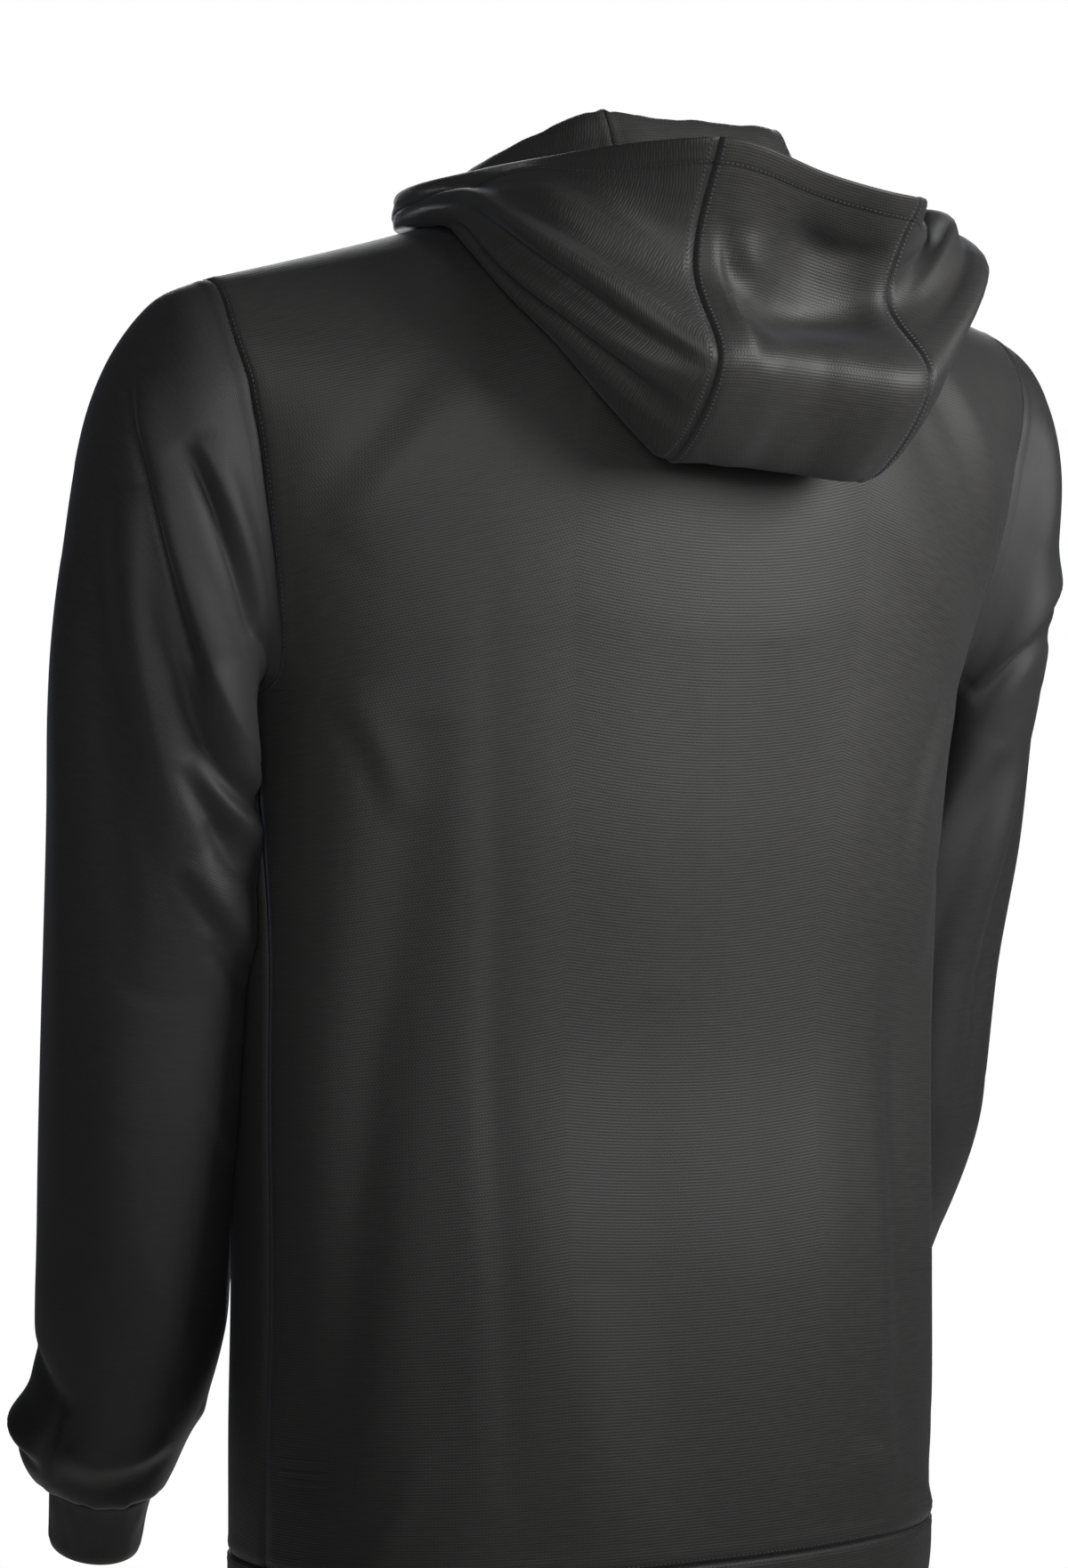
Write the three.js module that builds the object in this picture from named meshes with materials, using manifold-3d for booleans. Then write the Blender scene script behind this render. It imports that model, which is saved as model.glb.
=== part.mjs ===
// A zip-up hooded top in black polyester knit, in the hollow form that it has when worn.
// Each cut piece of cloth is one closed wall, worked out from rings and sections,
// and the pieces stand a little apart at their seams.
import * as THREE from "three";
import { mergeVertices } from "three/addons/utils/BufferGeometryUtils.js";
import Module from "manifold-3d";

// Driving sizes in millimetres.
// X points to the wearer's left, Y to the back and Z up.
// The origin lies midway between the two high points of the neck seam.
const CLOTH = 1.6;
const SEAM_GAP = 0.3;
const CURVED_SEAM_EASE = 0.12;
const HEM_Z = -732;
const BAND_TOP_Z = -695;
const UNDERARM_Z = -255;
const SHOULDER_X = 238;
const SHOULDER_Z = -48;
const SHOULDER_REACH = 262;
const SHOULDER_BEND = 0.85;
const NECK_HALF_WIDTH = 78;
const NECK_BACK = { y: 66, drop: 14, power: 2 };
const NECK_FRONT = { y: -72, drop: 80, power: 2.2 };
const SHOULDER_ROUNDING = { back: 135, front: 150 };
const NECK_SLOPE = { reach: 100, sharpness: 0.7 };
const SQUARENESS = 2.4;
const ZIP_ANGLE = 177;
const HOOD_SEAM_ANGLE = 40;
const SIDE_SEAM_TURN = { degrees: 6, reach: 150 };
const ARMHOLE_CUT = { power: 5, reach: 140 };
const SLEEVE_CLEARANCE = 2.4;
const HOOD_CLEARANCE = 3;
const ARMHOLE_CELLS = 12;

const CLOTH_COLOUR = 0x1c1d21;
const SLEEVE_COLOUR = 0x191a1e;
const ZIP_COLOUR = 0x131316;
const METAL_COLOUR = 0x2b2c30;

// The body's rings from the hem up: half width, depth behind and before the centre line, and its place.
const BODY = table("z halfWidth backDepth frontDepth centreY", [
  [-732, 197.5, 121, 101, -30],
  [-695, 200.5, 122, 103, -30],
  [-650, 200.5, 122, 104, -30],
  [-560, 199, 118, 104, -28],
  [-450, 200, 108, 112, -26],
  [-330, 202, 118, 130, -20],
  [-255, 206, 124, 135, -15],
  [-244, 208.5, 125, 135, -14],
  [-200, 223, 125, 133, -10],
  [-150, 238, 122, 128, -6],
  [-120, 246, 121, 120, -4],
  [-95, 259, 119, 114, -3],
  [-70, 264, 116, 104, -1],
  [-48, 262, 113, 97, 0],
]);

// The armhole seam, as a share of the body's half width.
const ARMHOLE = table("z share", [
  [-255, 1],
  [-244, 0.984],
  [-200, 0.962],
  [-150, 0.947],
  [-120, 0.937],
  [-95, 0.915],
  [-70, 0.911],
  [-48, SHOULDER_X / SHOULDER_REACH],
]);

// The left sleeve's sections from the armhole down: the outer and inner points of each oval,
// its place from front to back, its depth behind and before that line, and its lean in degrees.
const SLEEVE = table("station outerX outerZ innerX innerZ y back front tilt", [
  [0, 238, -48, 206, -255, 0, 60, 55, 0],
  [1, 259, -57, 210.5, -250.5, -6, 62, 58, 0],
  [2, 276, -82, 215, -256, -14, 63, 60, 0],
  [3, 288, -120, 216.5, -267, -22, 62, 60, 4],
  [4, 293, -165, 214.5, -282, -30, 61, 60, 6],
  [5, 295, -215, 209, -300, -40, 60, 60, 8],
  [6, 294, -262, 201, -320, -50, 60, 60, 8],
  [7, 292, -320, 190, -352, -58, 59, 59, 8],
  [8, 288, -400, 180, -410, -74, 57, 57, 8],
  [9, 285, -480, 180, -482, -85, 56, 56, 8],
  [10, 283, -560, 182, -560, -97, 52, 52, 12],
  [11, 280, -608, 187, -606, -108, 48, 48, 18],
  [12, 285, -638, 195, -634, -118, 44, 44, 20],
  [13, 276, -660, 203, -656, -125, 39, 39, 20],
  [14, 264, -664, 209, -662, -127, 28, 28, 20],
]);

// The left cuff, a rib band below the sleeve's fullness, in the same columns.
const CUFF = table("station outerX outerZ innerX innerZ y back front tilt", [
  [0, 264, -664, 209, -662, -127, 28, 28, 20],
  [1, 263, -676, 211, -674, -131, 26, 26, 20],
  [2, 261, -688, 212, -686, -135, 25, 25, 20],
  [3, 260, -700, 212, -698, -139, 24.5, 24.5, 20],
]);

// The hood lies back as a collapsed pouch. Each row is a section that leaves the neck seam at an angle
// counted from the centre back: it stands up, turns over, drops to the bottom fold and comes up
// to the face opening's hem. Out is the level distance from the seam and z the height.
const HOOD_KNOTS = ["stand", "over", "low", "bottom", "belly", "dent", "hem"];
const HOOD = table(
  "angle lowTurn highTurn standOut standZ overOut overZ lowOut lowZ bottomOut bottomZ " +
    "bellyOut bellyZ dentOut dentZ hemOut hemZ",
  [
    [-40, -4, -4, 24, 38, 44, 2, 64, -102, 94, -141, 146, -98, 120, -50, 146, 5],
    [0, 0, 0, 14, 38, 32, 8, 50, -100, 82, -143, 130, -98, 104, -48, 133, 0],
    [40, 4, 4, 24, 38, 44, 2, 64, -102, 94, -141, 146, -98, 120, -50, 146, 5],
    [60, 24, 26, 15, 30, 34, -2, 66, -60, 82, -76, 118, -48, 104, -14, 78, 6],
    [90, 66, 42, 7, 16, 22, 12, 48, -9, 62, -16, 66, -7, 60, 1, 50, 9],
    [135, 120, 135, 8, -29, 14, -22, 20, -16, 25, -11, 29, -6, 32, -1, 35, 4],
    [177, 100, 128, 3, -73, 7, -67, 12, -61, 17, -55, 22, -49, 26, -43, 29, -37],
  ],
);

// How the hood lies unevenly: a push in X, Y and Z round a place given by its angle, positive on
// the wearer's left, and by its knot counted from the seam, with its spread in both.
const HOOD_LUMPS = table("angle knot angleSpread knotSpread x y z", [
  [42, 7.4, 34, 1.8, 0, 2, 5],
  [-42, 7.4, 34, 1.8, 0, 0, -16],
  [-42, 4, 30, 1, 0, 4, -7],
  [-66, 5.2, 20, 1.2, -17, 2, 15],
  [-22, 6.2, 22, 0.8, 0, -12, 0],
]);

// The main folds of the back, in its width and height: a ridge where the height is positive.
const BACK_FOLDS = table("fromX fromZ toX toZ width height", [
  [137, -215, 118, -700, 13, -3.5],
  [112, -260, 96, -690, 16, 3],
  [152, -290, 172, -600, 22, -5],
  [-40, -250, -46, -460, 18, -2.5],
  [-90, -300, -84, -660, 18, 3],
  [-130, -420, -138, -690, 16, -3],
  [-165, -330, -176, -640, 18, 3],
  [30, -420, 20, -690, 22, -2.5],
  [150, -130, 190, -190, 15, 3.5],
  [-150, -110, -195, -185, 16, 4],
  [-120, -150, -175, -215, 15, -3],
]);
const FRONT_FOLDS = table("fromX fromZ toX toZ width height", [
  [70, -300, 62, -650, 18, 3],
  [120, -330, 128, -690, 18, -4],
  [160, -280, 168, -620, 18, 3],
  [130, -150, 180, -215, 16, -3.5],
  [30, -420, 34, -690, 12, -2],
]);

// The main folds of a sleeve, in steps round it from the underarm, back first, and stations down it.
const SLEEVE_FOLDS = table("fromX fromZ toX toZ width height", [
  [10.6, 2.4, 7.4, 6.6, 0.8, 4.5],
  [8.6, 2.2, 6.2, 5.4, 0.7, -4],
  [5.6, 2.6, 3.4, 5.2, 0.7, 3.5],
  [9.6, 5.6, 7.4, 9.6, 0.9, -5],
  [6.2, 6.4, 4.4, 9.4, 0.8, 4],
  [12.4, 7.2, 10.6, 10.4, 0.8, 3.5],
  [14.6, 3, 16.6, 7, 0.8, -4],
  [17.6, 5, 15.4, 9.6, 0.8, 4],
  [20, 7.6, 18, 10.6, 0.8, -3.5],
  [5, 10.4, 8.6, 11.6, 0.7, 4],
  [13, 11, 16, 11.9, 0.8, -3.5],
]);
const SLEEVE_FOLD_STRETCH = 1.5;

// The right arm bends further forward than the left from the elbow down.
const FOREARM = { fromZ: -480, reach: 130, leftForward: 0, rightForward: 34 };

// Turns rows of numbers into records with named columns.
function table(columns, rows) {
  const names = columns.split(" ");
  return rows.map((row) => Object.fromEntries(names.map((name, i) => [name, row[i]])));
}

function smoothstep(value) {
  const share = Math.min(1, Math.max(0, value));
  return share * share * (3 - 2 * share);
}

// A smooth curve through one column of a table, which never swings past its rows.
function smooth(rows, key, column) {
  const at = rows.map((row) => row[key]);
  const value = rows.map((row) => row[column]);
  const rise = value.slice(1).map((next, i) => (next - value[i]) / (at[i + 1] - at[i]));
  const slope = value.map((_, i) => {
    const before = rise[Math.max(0, i - 1)];
    const after = rise[Math.min(rise.length - 1, i)];
    return before * after <= 0 ? 0 : (2 * before * after) / (before + after);
  });
  return (place) => {
    const inside = Math.min(at[at.length - 1], Math.max(at[0], place));
    const next = at.findIndex((edge, i) => i > 0 && inside <= edge);
    const span = at[next] - at[next - 1];
    const t = (inside - at[next - 1]) / span;
    const blend = t * t * (3 - 2 * t);
    const leave = t * (1 - t) * (1 - t) * span * slope[next - 1];
    const arrive = t * t * (t - 1) * span * slope[next];
    return value[next - 1] + (value[next] - value[next - 1]) * blend + leave + arrive;
  };
}

// All number columns of a table as smooth curves, by name.
function smoothColumns(rows, key) {
  const columns = Object.keys(rows[0]).filter((name) => name !== key);
  return Object.fromEntries(columns.map((name) => [name, smooth(rows, key, name)]));
}

const body = smoothColumns(BODY, "z");
const armholeShare = smooth(ARMHOLE, "z", "share");
const sleeve = smoothColumns(SLEEVE, "station");
const cuff = smoothColumns(CUFF, "station");
const hood = smoothColumns(HOOD, "angle");

// Folds: each is a soft ridge or trough along a straight run, round across it and fading at its ends.
function foldHeight(folds, x, z, stretch) {
  return folds.reduce((sum, fold) => {
    const runX = (fold.toX - fold.fromX) * stretch;
    const runZ = fold.toZ - fold.fromZ;
    const length = Math.hypot(runX, runZ);
    const alongX = ((x - fold.fromX) * stretch * runX) / length;
    const along = (alongX + (z - fold.fromZ) * (runZ / length)) / length;
    const across = ((x - fold.fromX) * stretch * runZ - (z - fold.fromZ) * runX) / length;
    const inside = Math.min(1, Math.max(0, along));
    const taper = Math.sin(Math.PI * inside) ** 0.7;
    return sum + fold.height * taper * Math.exp(-((across / fold.width) ** 2));
  }, 0);
}

// The unit normal of a surface of two parameters, by small steps that stay inside its range.
function normalOf(surface, a, b, range, turn) {
  const stepA = (range.a[1] - range.a[0]) * 1e-4;
  const stepB = (range.b[1] - range.b[0]) * 1e-4;
  const alongA = surface(Math.min(range.a[1], a + stepA), b);
  alongA.sub(surface(Math.max(range.a[0], a - stepA), b));
  const alongB = surface(a, Math.min(range.b[1], b + stepB));
  alongB.sub(surface(a, Math.max(range.b[0], b - stepB)));
  return alongA.cross(alongB).normalize().multiplyScalar(turn);
}

// The body's top edge over a place across it: the neck seam, then the shoulder seam.
function topEdge(side, x) {
  const across = Math.abs(x);
  if (across >= NECK_HALF_WIDTH) {
    const share = (across - NECK_HALF_WIDTH) / (SHOULDER_X - NECK_HALF_WIDTH);
    return { y: 0, z: SHOULDER_Z * share ** SHOULDER_BEND };
  }
  const neck = side > 0 ? NECK_BACK : NECK_FRONT;
  const cosine = Math.sqrt(1 - (across / NECK_HALF_WIDTH) ** 2);
  return { y: neck.y * cosine, z: -neck.drop * cosine ** neck.power };
}

// How far a column turns from the centre line, at its share of the way to the side edge.
// Below the underarm that edge is the side seam, which drifts a little to the back on its way down.
// Above it the armhole cuts in, first into the outer columns alone and further up into them all.
function columnTurn(side, share, row) {
  if (row <= UNDERARM_Z) {
    const drift = smoothstep((UNDERARM_Z - row) / SIDE_SEAM_TURN.reach) * SIDE_SEAM_TURN.degrees;
    return share * THREE.MathUtils.degToRad(90 - side * drift);
  }
  const reach = Math.asin(Math.min(1, armholeShare(row)));
  const cutIn = share * (Math.PI / 2) - (Math.PI / 2 - reach) * share * Math.abs(share) ** ARMHOLE_CUT.power;
  const spread = smoothstep((row - UNDERARM_Z) / ARMHOLE_CUT.reach);
  return cutIn + (share * reach - cutIn) * spread;
}

// A point of the body's outer face. Side is 1 behind and -1 before, x names a column by its place
// on the top edge, and row a height at the armhole. The column is spread over the ring at that height,
// and near the top the ring's depth rounds over to the edge.
function bodyPoint(side, x, row) {
  const halfWidth = body.halfWidth(row);
  const share = Math.asin(x / SHOULDER_REACH) / Math.asin(SHOULDER_X / SHOULDER_REACH);
  const turn = columnTurn(side, share, row);
  const across = halfWidth * Math.sin(turn);
  const top = topEdge(side, x);
  const rise = (row - BAND_TOP_Z) / (SHOULDER_Z - BAND_TOP_Z);
  const z = row > BAND_TOP_Z ? BAND_TOP_Z + (top.z - BAND_TOP_Z) * rise : row;
  const depth = side * Math.cos(turn) > 0 ? body.backDepth(row) : -body.frontDepth(row);
  const ring = Math.max(0, 1 - (Math.abs(across) / halfWidth) ** SQUARENESS);
  const full = body.centreY(row) + depth * ring ** (1 / SQUARENESS);
  const rounding = side > 0 ? SHOULDER_ROUNDING.back : SHOULDER_ROUNDING.front;
  const drop = Math.min(1, Math.max(0, (top.z - z) / rounding));
  const power = 1 + NECK_SLOPE.sharpness * (1 - smoothstep(Math.abs(x) / NECK_SLOPE.reach));
  const cosine = (1 - drop) ** (1 / power);
  const sine = Math.sqrt(1 - cosine * cosine);
  const y = top.y + (full - top.y) * sine ** power;
  return new THREE.Vector3(across, y, z);
}

const BODY_RANGE = { a: [-SHOULDER_X, SHOULDER_X], b: [HEM_Z, SHOULDER_Z] };

// The body's outer face with its folds, which die away at every seam and at the zip.
function drapedBody(side, x, row) {
  const point = bodyPoint(side, x, row);
  const top = topEdge(side, x);
  const share = Math.asin(x / SHOULDER_REACH) / Math.asin(SHOULDER_X / SHOULDER_REACH);
  const fromSide = smoothstep((1 - Math.abs(share)) / 0.14);
  const fromTop = smoothstep((top.z - point.z) / 50);
  const fromBand = smoothstep((point.z - BAND_TOP_Z) / 40);
  const fromZip = side > 0 ? 1 : smoothstep((Math.abs(x) - 4) / 30);
  const folds = side > 0 ? BACK_FOLDS : FRONT_FOLDS;
  const place = side > 0 ? point.x : Math.abs(point.x);
  const height = foldHeight(folds, place, point.z, 1) * fromSide * fromTop * fromBand * fromZip;
  const surface = (a, b) => bodyPoint(side, a, b);
  return point.addScaledVector(normalOf(surface, x, row, BODY_RANGE, -side), height);
}

// A grid of outer points and normals, one row for each value of b.
function gridOf(surface, as, bs, range, turn) {
  return bs.map((b) =>
    as.map((a) => ({ point: surface(a, b), normal: normalOf(surface, a, b, range, turn) })),
  );
}

function cell(point, normal) {
  return { point: point.clone(), normal: normal.clone() };
}

function transposed(grid) {
  return grid[0].map((_, j) => grid.map((row) => row[j]));
}

// For each point of a grid's first row, the vector in the surface that points out of the panel.
// Where the edge turns a corner, the ways out of both its stretches are added.
function awayFromFirstRow(grid, corners = []) {
  const stops = [0, ...corners, grid[0].length - 1];
  const out = grid[0].map(() => new THREE.Vector3());
  stops.slice(1).forEach((to, stretch) => {
    const from = stops[stretch];
    for (let j = from; j <= to; j++) {
      const before = grid[0][Math.max(from, j - 1)].point;
      const after = grid[0][Math.min(to, j + 1)].point;
      const away = grid[0][j].normal.clone().cross(after.clone().sub(before)).normalize();
      const inward = grid[1][j].point.clone().sub(grid[0][j].point);
      out[j].addScaledVector(away, away.dot(inward) > 0 ? -1 : 1);
    }
  });
  return out;
}

function reversedRows(grid) {
  return [...grid].reverse();
}

const NO_CORNERS = { top: [], side: [] };

// The four edges of a grid, each with its way out: first and last row, first and last column.
// Corners are the columns where the last row, and the rows where the sides, turn to the next seam.
function edgesOut(grid, corners = NO_CORNERS) {
  const sideways = transposed(grid);
  return {
    first: awayFromFirstRow(grid),
    last: awayFromFirstRow(reversedRows(grid), corners.top),
    left: awayFromFirstRow(sideways, corners.side),
    right: awayFromFirstRow(reversedRows(sideways), corners.side),
  };
}

// Draws the named edges of a grid in by half the seam gap.
function trimmed(grid, edges, corners = NO_CORNERS) {
  const out = edgesOut(grid, corners);
  const lastRow = grid.length - 1;
  const lastColumn = grid[0].length - 1;
  return grid.map((row, i) =>
    row.map(({ point, normal }, j) => {
      const moved = point.clone();
      const cut = -SEAM_GAP / 2;
      if (edges.includes("first") && i === 0) moved.addScaledVector(out.first[j], cut);
      if (edges.includes("last") && i === lastRow) moved.addScaledVector(out.last[j], cut);
      if (edges.includes("left") && j === 0) moved.addScaledVector(out.left[i], cut);
      if (edges.includes("right") && j === lastColumn) moved.addScaledVector(out.right[i], cut);
      return cell(moved, normal);
    }),
  );
}

// The mirror image of a grid on the wearer's other side.
function mirrored(grid) {
  const flip = new THREE.Vector3(-1, 1, 1);
  return grid.map((row) =>
    row.map(({ point, normal }) => cell(point.clone().multiply(flip), normal.clone().multiply(flip))),
  );
}

function signedVolume(positions, triangles) {
  const corner = (k) => new THREE.Vector3().fromArray(positions, 3 * k);
  let sum = 0;
  for (let i = 0; i < triangles.length; i += 3) {
    const [a, b, c] = triangles.slice(i, i + 3).map(corner);
    sum += a.dot(b.cross(c));
  }
  return sum;
}

// One closed wall between a grid of outer points and the same points moved in by its thickness.
// A wrapped wall is a tube, whose last column joins the first.
function wall(grid, { thickness = CLOTH, sink = 0, wrap = false } = {}) {
  const rows = grid.length;
  const columns = grid[0].length;
  const positions = [];
  for (const depth of [sink, sink + thickness]) {
    for (const { point, normal } of grid.flat()) {
      positions.push(...point.clone().addScaledVector(normal, -depth).toArray());
    }
  }
  const outer = (i, j) => i * columns + (j % columns);
  const inner = (i, j) => rows * columns + outer(i, j);
  const triangles = [];
  const quad = (a, b, c, d) => triangles.push(a, b, c, a, c, d);
  const spans = wrap ? columns : columns - 1;
  for (let j = 0; j < spans; j++) {
    for (let i = 0; i < rows - 1; i++) {
      quad(outer(i, j), outer(i, j + 1), outer(i + 1, j + 1), outer(i + 1, j));
      quad(inner(i, j), inner(i + 1, j), inner(i + 1, j + 1), inner(i, j + 1));
    }
    quad(inner(0, j), inner(0, j + 1), outer(0, j + 1), outer(0, j));
    quad(outer(rows - 1, j), outer(rows - 1, j + 1), inner(rows - 1, j + 1), inner(rows - 1, j));
  }
  for (let i = 0; i < rows - 1 && !wrap; i++) {
    const end = columns - 1;
    quad(outer(i, 0), outer(i + 1, 0), inner(i + 1, 0), inner(i, 0));
    quad(outer(i, end), inner(i, end), inner(i + 1, end), outer(i + 1, end));
  }
  if (signedVolume(positions, triangles) < 0) triangles.reverse();
  const geometry = new THREE.BufferGeometry();
  geometry.setAttribute("position", new THREE.Float32BufferAttribute(positions, 3));
  geometry.setIndex(triangles);
  return geometry;
}

function evenly(from, to, cells) {
  return Array.from({ length: cells + 1 }, (_, i) => from + ((to - from) * i) / cells);
}

const neckX = (angle) => NECK_HALF_WIDTH * Math.sin(THREE.MathUtils.degToRad(angle));
const armholeRow = (k) => {
  const middle = (UNDERARM_Z + SHOULDER_Z) / 2;
  const half = (SHOULDER_Z - UNDERARM_Z) / 2;
  return middle - half * Math.cos((Math.PI * k) / ARMHOLE_CELLS);
};

// The columns and rows that neighbouring pieces share, so that their seams match.
const BACK_ANGLES = [...evenly(0, HOOD_SEAM_ANGLE, 3), ...evenly(HOOD_SEAM_ANGLE, 90, 3).slice(1)];
const FRONT_ANGLES = evenly(90, ZIP_ANGLE, 6);
const SHOULDER_COLUMNS = evenly(NECK_HALF_WIDTH, SHOULDER_X, 5).slice(1);
const HALF_BACK = [...BACK_ANGLES.map(neckX), ...SHOULDER_COLUMNS];
const BACK_COLUMNS = [...HALF_BACK.slice(1).reverse().map((x) => -x), ...HALF_BACK];
const FRONT_COLUMNS = [...FRONT_ANGLES.map(neckX).reverse(), ...SHOULDER_COLUMNS];
const LOWER_ROWS = evenly(BAND_TOP_Z, UNDERARM_Z, 14);
const ARMHOLE_ROWS = evenly(0, ARMHOLE_CELLS, ARMHOLE_CELLS).map(armholeRow);
const BODY_ROWS = [...LOWER_ROWS, ...ARMHOLE_ROWS.slice(1)];
const BAND_ROWS = evenly(HEM_Z, BAND_TOP_Z, 2);
const NECK_CELLS = BACK_ANGLES.length - 1;
const UNDERARM_ROW = LOWER_ROWS.length - 1;
const BACK_MIDDLE = HALF_BACK.length - 1;
const BACK_CORNERS = { top: [BACK_MIDDLE - NECK_CELLS, BACK_MIDDLE + NECK_CELLS], side: [UNDERARM_ROW] };
const FRONT_CORNERS = { top: [FRONT_ANGLES.length - 1], side: [UNDERARM_ROW] };

const backSurface = (x, row) => drapedBody(1, x, row);
const frontSurface = (x, row) => drapedBody(-1, x, row);
const backGrid = gridOf(backSurface, BACK_COLUMNS, BODY_ROWS, BODY_RANGE, -1);
const frontGrid = gridOf(frontSurface, FRONT_COLUMNS, BODY_ROWS, BODY_RANGE, 1);

// Eases the twist of an edge beside a corner: one normal becomes the mean of its two neighbours along it.
function easeTwist(grid, row, column, rowStep, columnStep) {
  const before = grid[row - rowStep][column - columnStep].normal;
  const after = grid[row + rowStep][column + columnStep].normal;
  grid[row][column].normal = before.clone().add(after).normalize();
}

// Gives the back and the fronts the same normals where they meet, at the shoulder and side seams.
// The underarm and the high neck point, where two seams cross, take those of the next row and column.
function shareNormals() {
  const top = BODY_ROWS.length - 1;
  const shoulderCells = SHOULDER_COLUMNS.length;
  const share = (row, fromRow, step, fromStep) => {
    const behind = BACK_COLUMNS.length - 1 - step;
    const before = FRONT_COLUMNS.length - 1 - step;
    const source = backGrid[fromRow][BACK_COLUMNS.length - 1 - fromStep].normal.clone();
    const normal = source.add(frontGrid[fromRow][FRONT_COLUMNS.length - 1 - fromStep].normal).normalize();
    backGrid[row][behind].normal = normal;
    frontGrid[row][before].normal = normal;
    backGrid[row][step].normal = normal.clone().multiply(new THREE.Vector3(-1, 1, 1));
  };
  LOWER_ROWS.forEach((_, i) => share(i, Math.min(i, UNDERARM_ROW - 1), 0, 0));
  for (let step = 0; step <= shoulderCells; step++) share(top, top, step, Math.min(step, shoulderCells - 1));
  easeTwist(backGrid, UNDERARM_ROW + 1, 0, 1, 0);
  easeTwist(backGrid, UNDERARM_ROW + 1, BACK_COLUMNS.length - 1, 1, 0);
  easeTwist(frontGrid, UNDERARM_ROW + 1, FRONT_COLUMNS.length - 1, 1, 0);
  easeTwist(backGrid, top, BACK_MIDDLE + NECK_CELLS - 1, 0, 1);
  easeTwist(backGrid, top, BACK_MIDDLE - NECK_CELLS + 1, 0, 1);
  easeTwist(frontGrid, top, FRONT_ANGLES.length - 2, 0, 1);
}

shareNormals();

// The hem band's ring: the left front, the back from left to right, then the right front.
function bandGrid() {
  const front = gridOf(frontSurface, FRONT_COLUMNS, BAND_ROWS, BODY_RANGE, 1);
  const back = gridOf(backSurface, BACK_COLUMNS, BAND_ROWS, BODY_RANGE, -1);
  const otherFront = mirrored(front);
  return front.map((row, i) => [
    ...row,
    ...[...back[i]].reverse().slice(1),
    ...[...otherFront[i]].reverse().slice(1),
  ]);
}

// The point between two panels' matching edges, a little outside both and eased for the edges' twist.
function seamCell(cells) {
  const point = cells[0].point.clone();
  const normal = cells.reduce((sum, entry) => sum.add(entry.normal), new THREE.Vector3()).normalize();
  const away = cells.reduce((sum, entry) => sum.add(entry.away), new THREE.Vector3()).normalize();
  return cell(point.addScaledVector(away, SEAM_GAP / 2 + CURVED_SEAM_EASE), normal);
}

// The armhole seam as the sleeve's first ring, up the back from the underarm and down the front.
function armholeRing() {
  const rightEdge = (grid) => {
    const out = edgesOut(grid, grid === backGrid ? BACK_CORNERS : FRONT_CORNERS).right;
    const last = grid[0].length - 1;
    return grid.map((row, i) => ({ ...row[last], away: out[i] })).slice(UNDERARM_ROW);
  };
  const behind = rightEdge(backGrid);
  const before = rightEdge(frontGrid);
  const top = ARMHOLE_CELLS;
  return evenly(0, 2 * top - 1, 2 * top - 1).map((k) => {
    if (k === 0 || k === top) return seamCell([behind[k], before[k]]);
    return seamCell([k < top ? behind[k] : before[2 * top - k]]);
  });
}

function armholePoint(around) {
  const k = Math.min(around, 2 * ARMHOLE_CELLS - around);
  return bodyPoint(around < ARMHOLE_CELLS ? 1 : -1, SHOULDER_X, armholeRow(k));
}

// A point on an oval section: around counts from the inner point over the back to the outer point.
function ovalPoint(columns, around, station) {
  const turn = Math.PI * (1 - around / ARMHOLE_CELLS);
  const tilt = THREE.MathUtils.degToRad(columns.tilt(station));
  const outer = new THREE.Vector3(columns.outerX(station), columns.y(station), columns.outerZ(station));
  const inner = new THREE.Vector3(columns.innerX(station), columns.y(station), columns.innerZ(station));
  const depth = Math.sin(turn) > 0 ? columns.back(station) : columns.front(station);
  const across = new THREE.Vector3(0, Math.cos(tilt), -Math.sin(tilt)).multiplyScalar(depth);
  const reach = outer.clone().sub(inner).multiplyScalar(0.5);
  const centre = outer.add(inner).multiplyScalar(0.5);
  return centre.addScaledVector(reach, Math.cos(turn)).addScaledVector(across, Math.sin(turn));
}

// Moves a point that would touch the body's side straight out of its ring.
function clearOfBody(point) {
  if (point.z > UNDERARM_Z) return point;
  const clearance = SLEEVE_CLEARANCE * smoothstep((UNDERARM_Z - point.z) / 30);
  const centre = body.centreY(point.z);
  const depth = point.y > centre ? body.backDepth(point.z) : body.frontDepth(point.z);
  const shareX = (Math.abs(point.x) / (body.halfWidth(point.z) + clearance)) ** SQUARENESS;
  const shareY = (Math.abs(point.y - centre) / (depth + clearance)) ** SQUARENESS;
  const scale = Math.max(1, (shareX + shareY) ** (-1 / SQUARENESS));
  return point.set(point.x * scale, centre + (point.y - centre) * scale, point.z);
}

const SLEEVE_END = SLEEVE.length - 1;
const SLEEVE_RANGE = { a: [-1, 2 * ARMHOLE_CELLS + 1], b: [0, SLEEVE_END] };
const CUFF_RANGE = { a: SLEEVE_RANGE.a, b: [0, CUFF.length - 1] };

function bentForward(point, forward) {
  point.y -= forward * smoothstep((FOREARM.fromZ - point.z) / FOREARM.reach);
  return point;
}

function plainSleeve(around, station) {
  const ring = (around + 2 * ARMHOLE_CELLS) % (2 * ARMHOLE_CELLS);
  const start = armholePoint(ring).sub(ovalPoint(sleeve, ring, 0));
  const point = ovalPoint(sleeve, ring, station);
  return point.addScaledVector(start, 1 - smoothstep(station / 3));
}

// A sleeve's outer face, from the armhole to the cuff, with its folds.
function sleeveSurface(forward) {
  return (around, station) => {
    const point = plainSleeve(around, station);
    const ring = (around + 2 * ARMHOLE_CELLS) % (2 * ARMHOLE_CELLS);
    const ends = smoothstep(station / 2) * smoothstep((SLEEVE_END - station) / 1.5);
    const height = foldHeight(SLEEVE_FOLDS, ring, station, SLEEVE_FOLD_STRETCH) * ends;
    point.addScaledVector(normalOf(plainSleeve, around, station, SLEEVE_RANGE, 1), height);
    return clearOfBody(bentForward(point, forward));
  };
}

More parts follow.
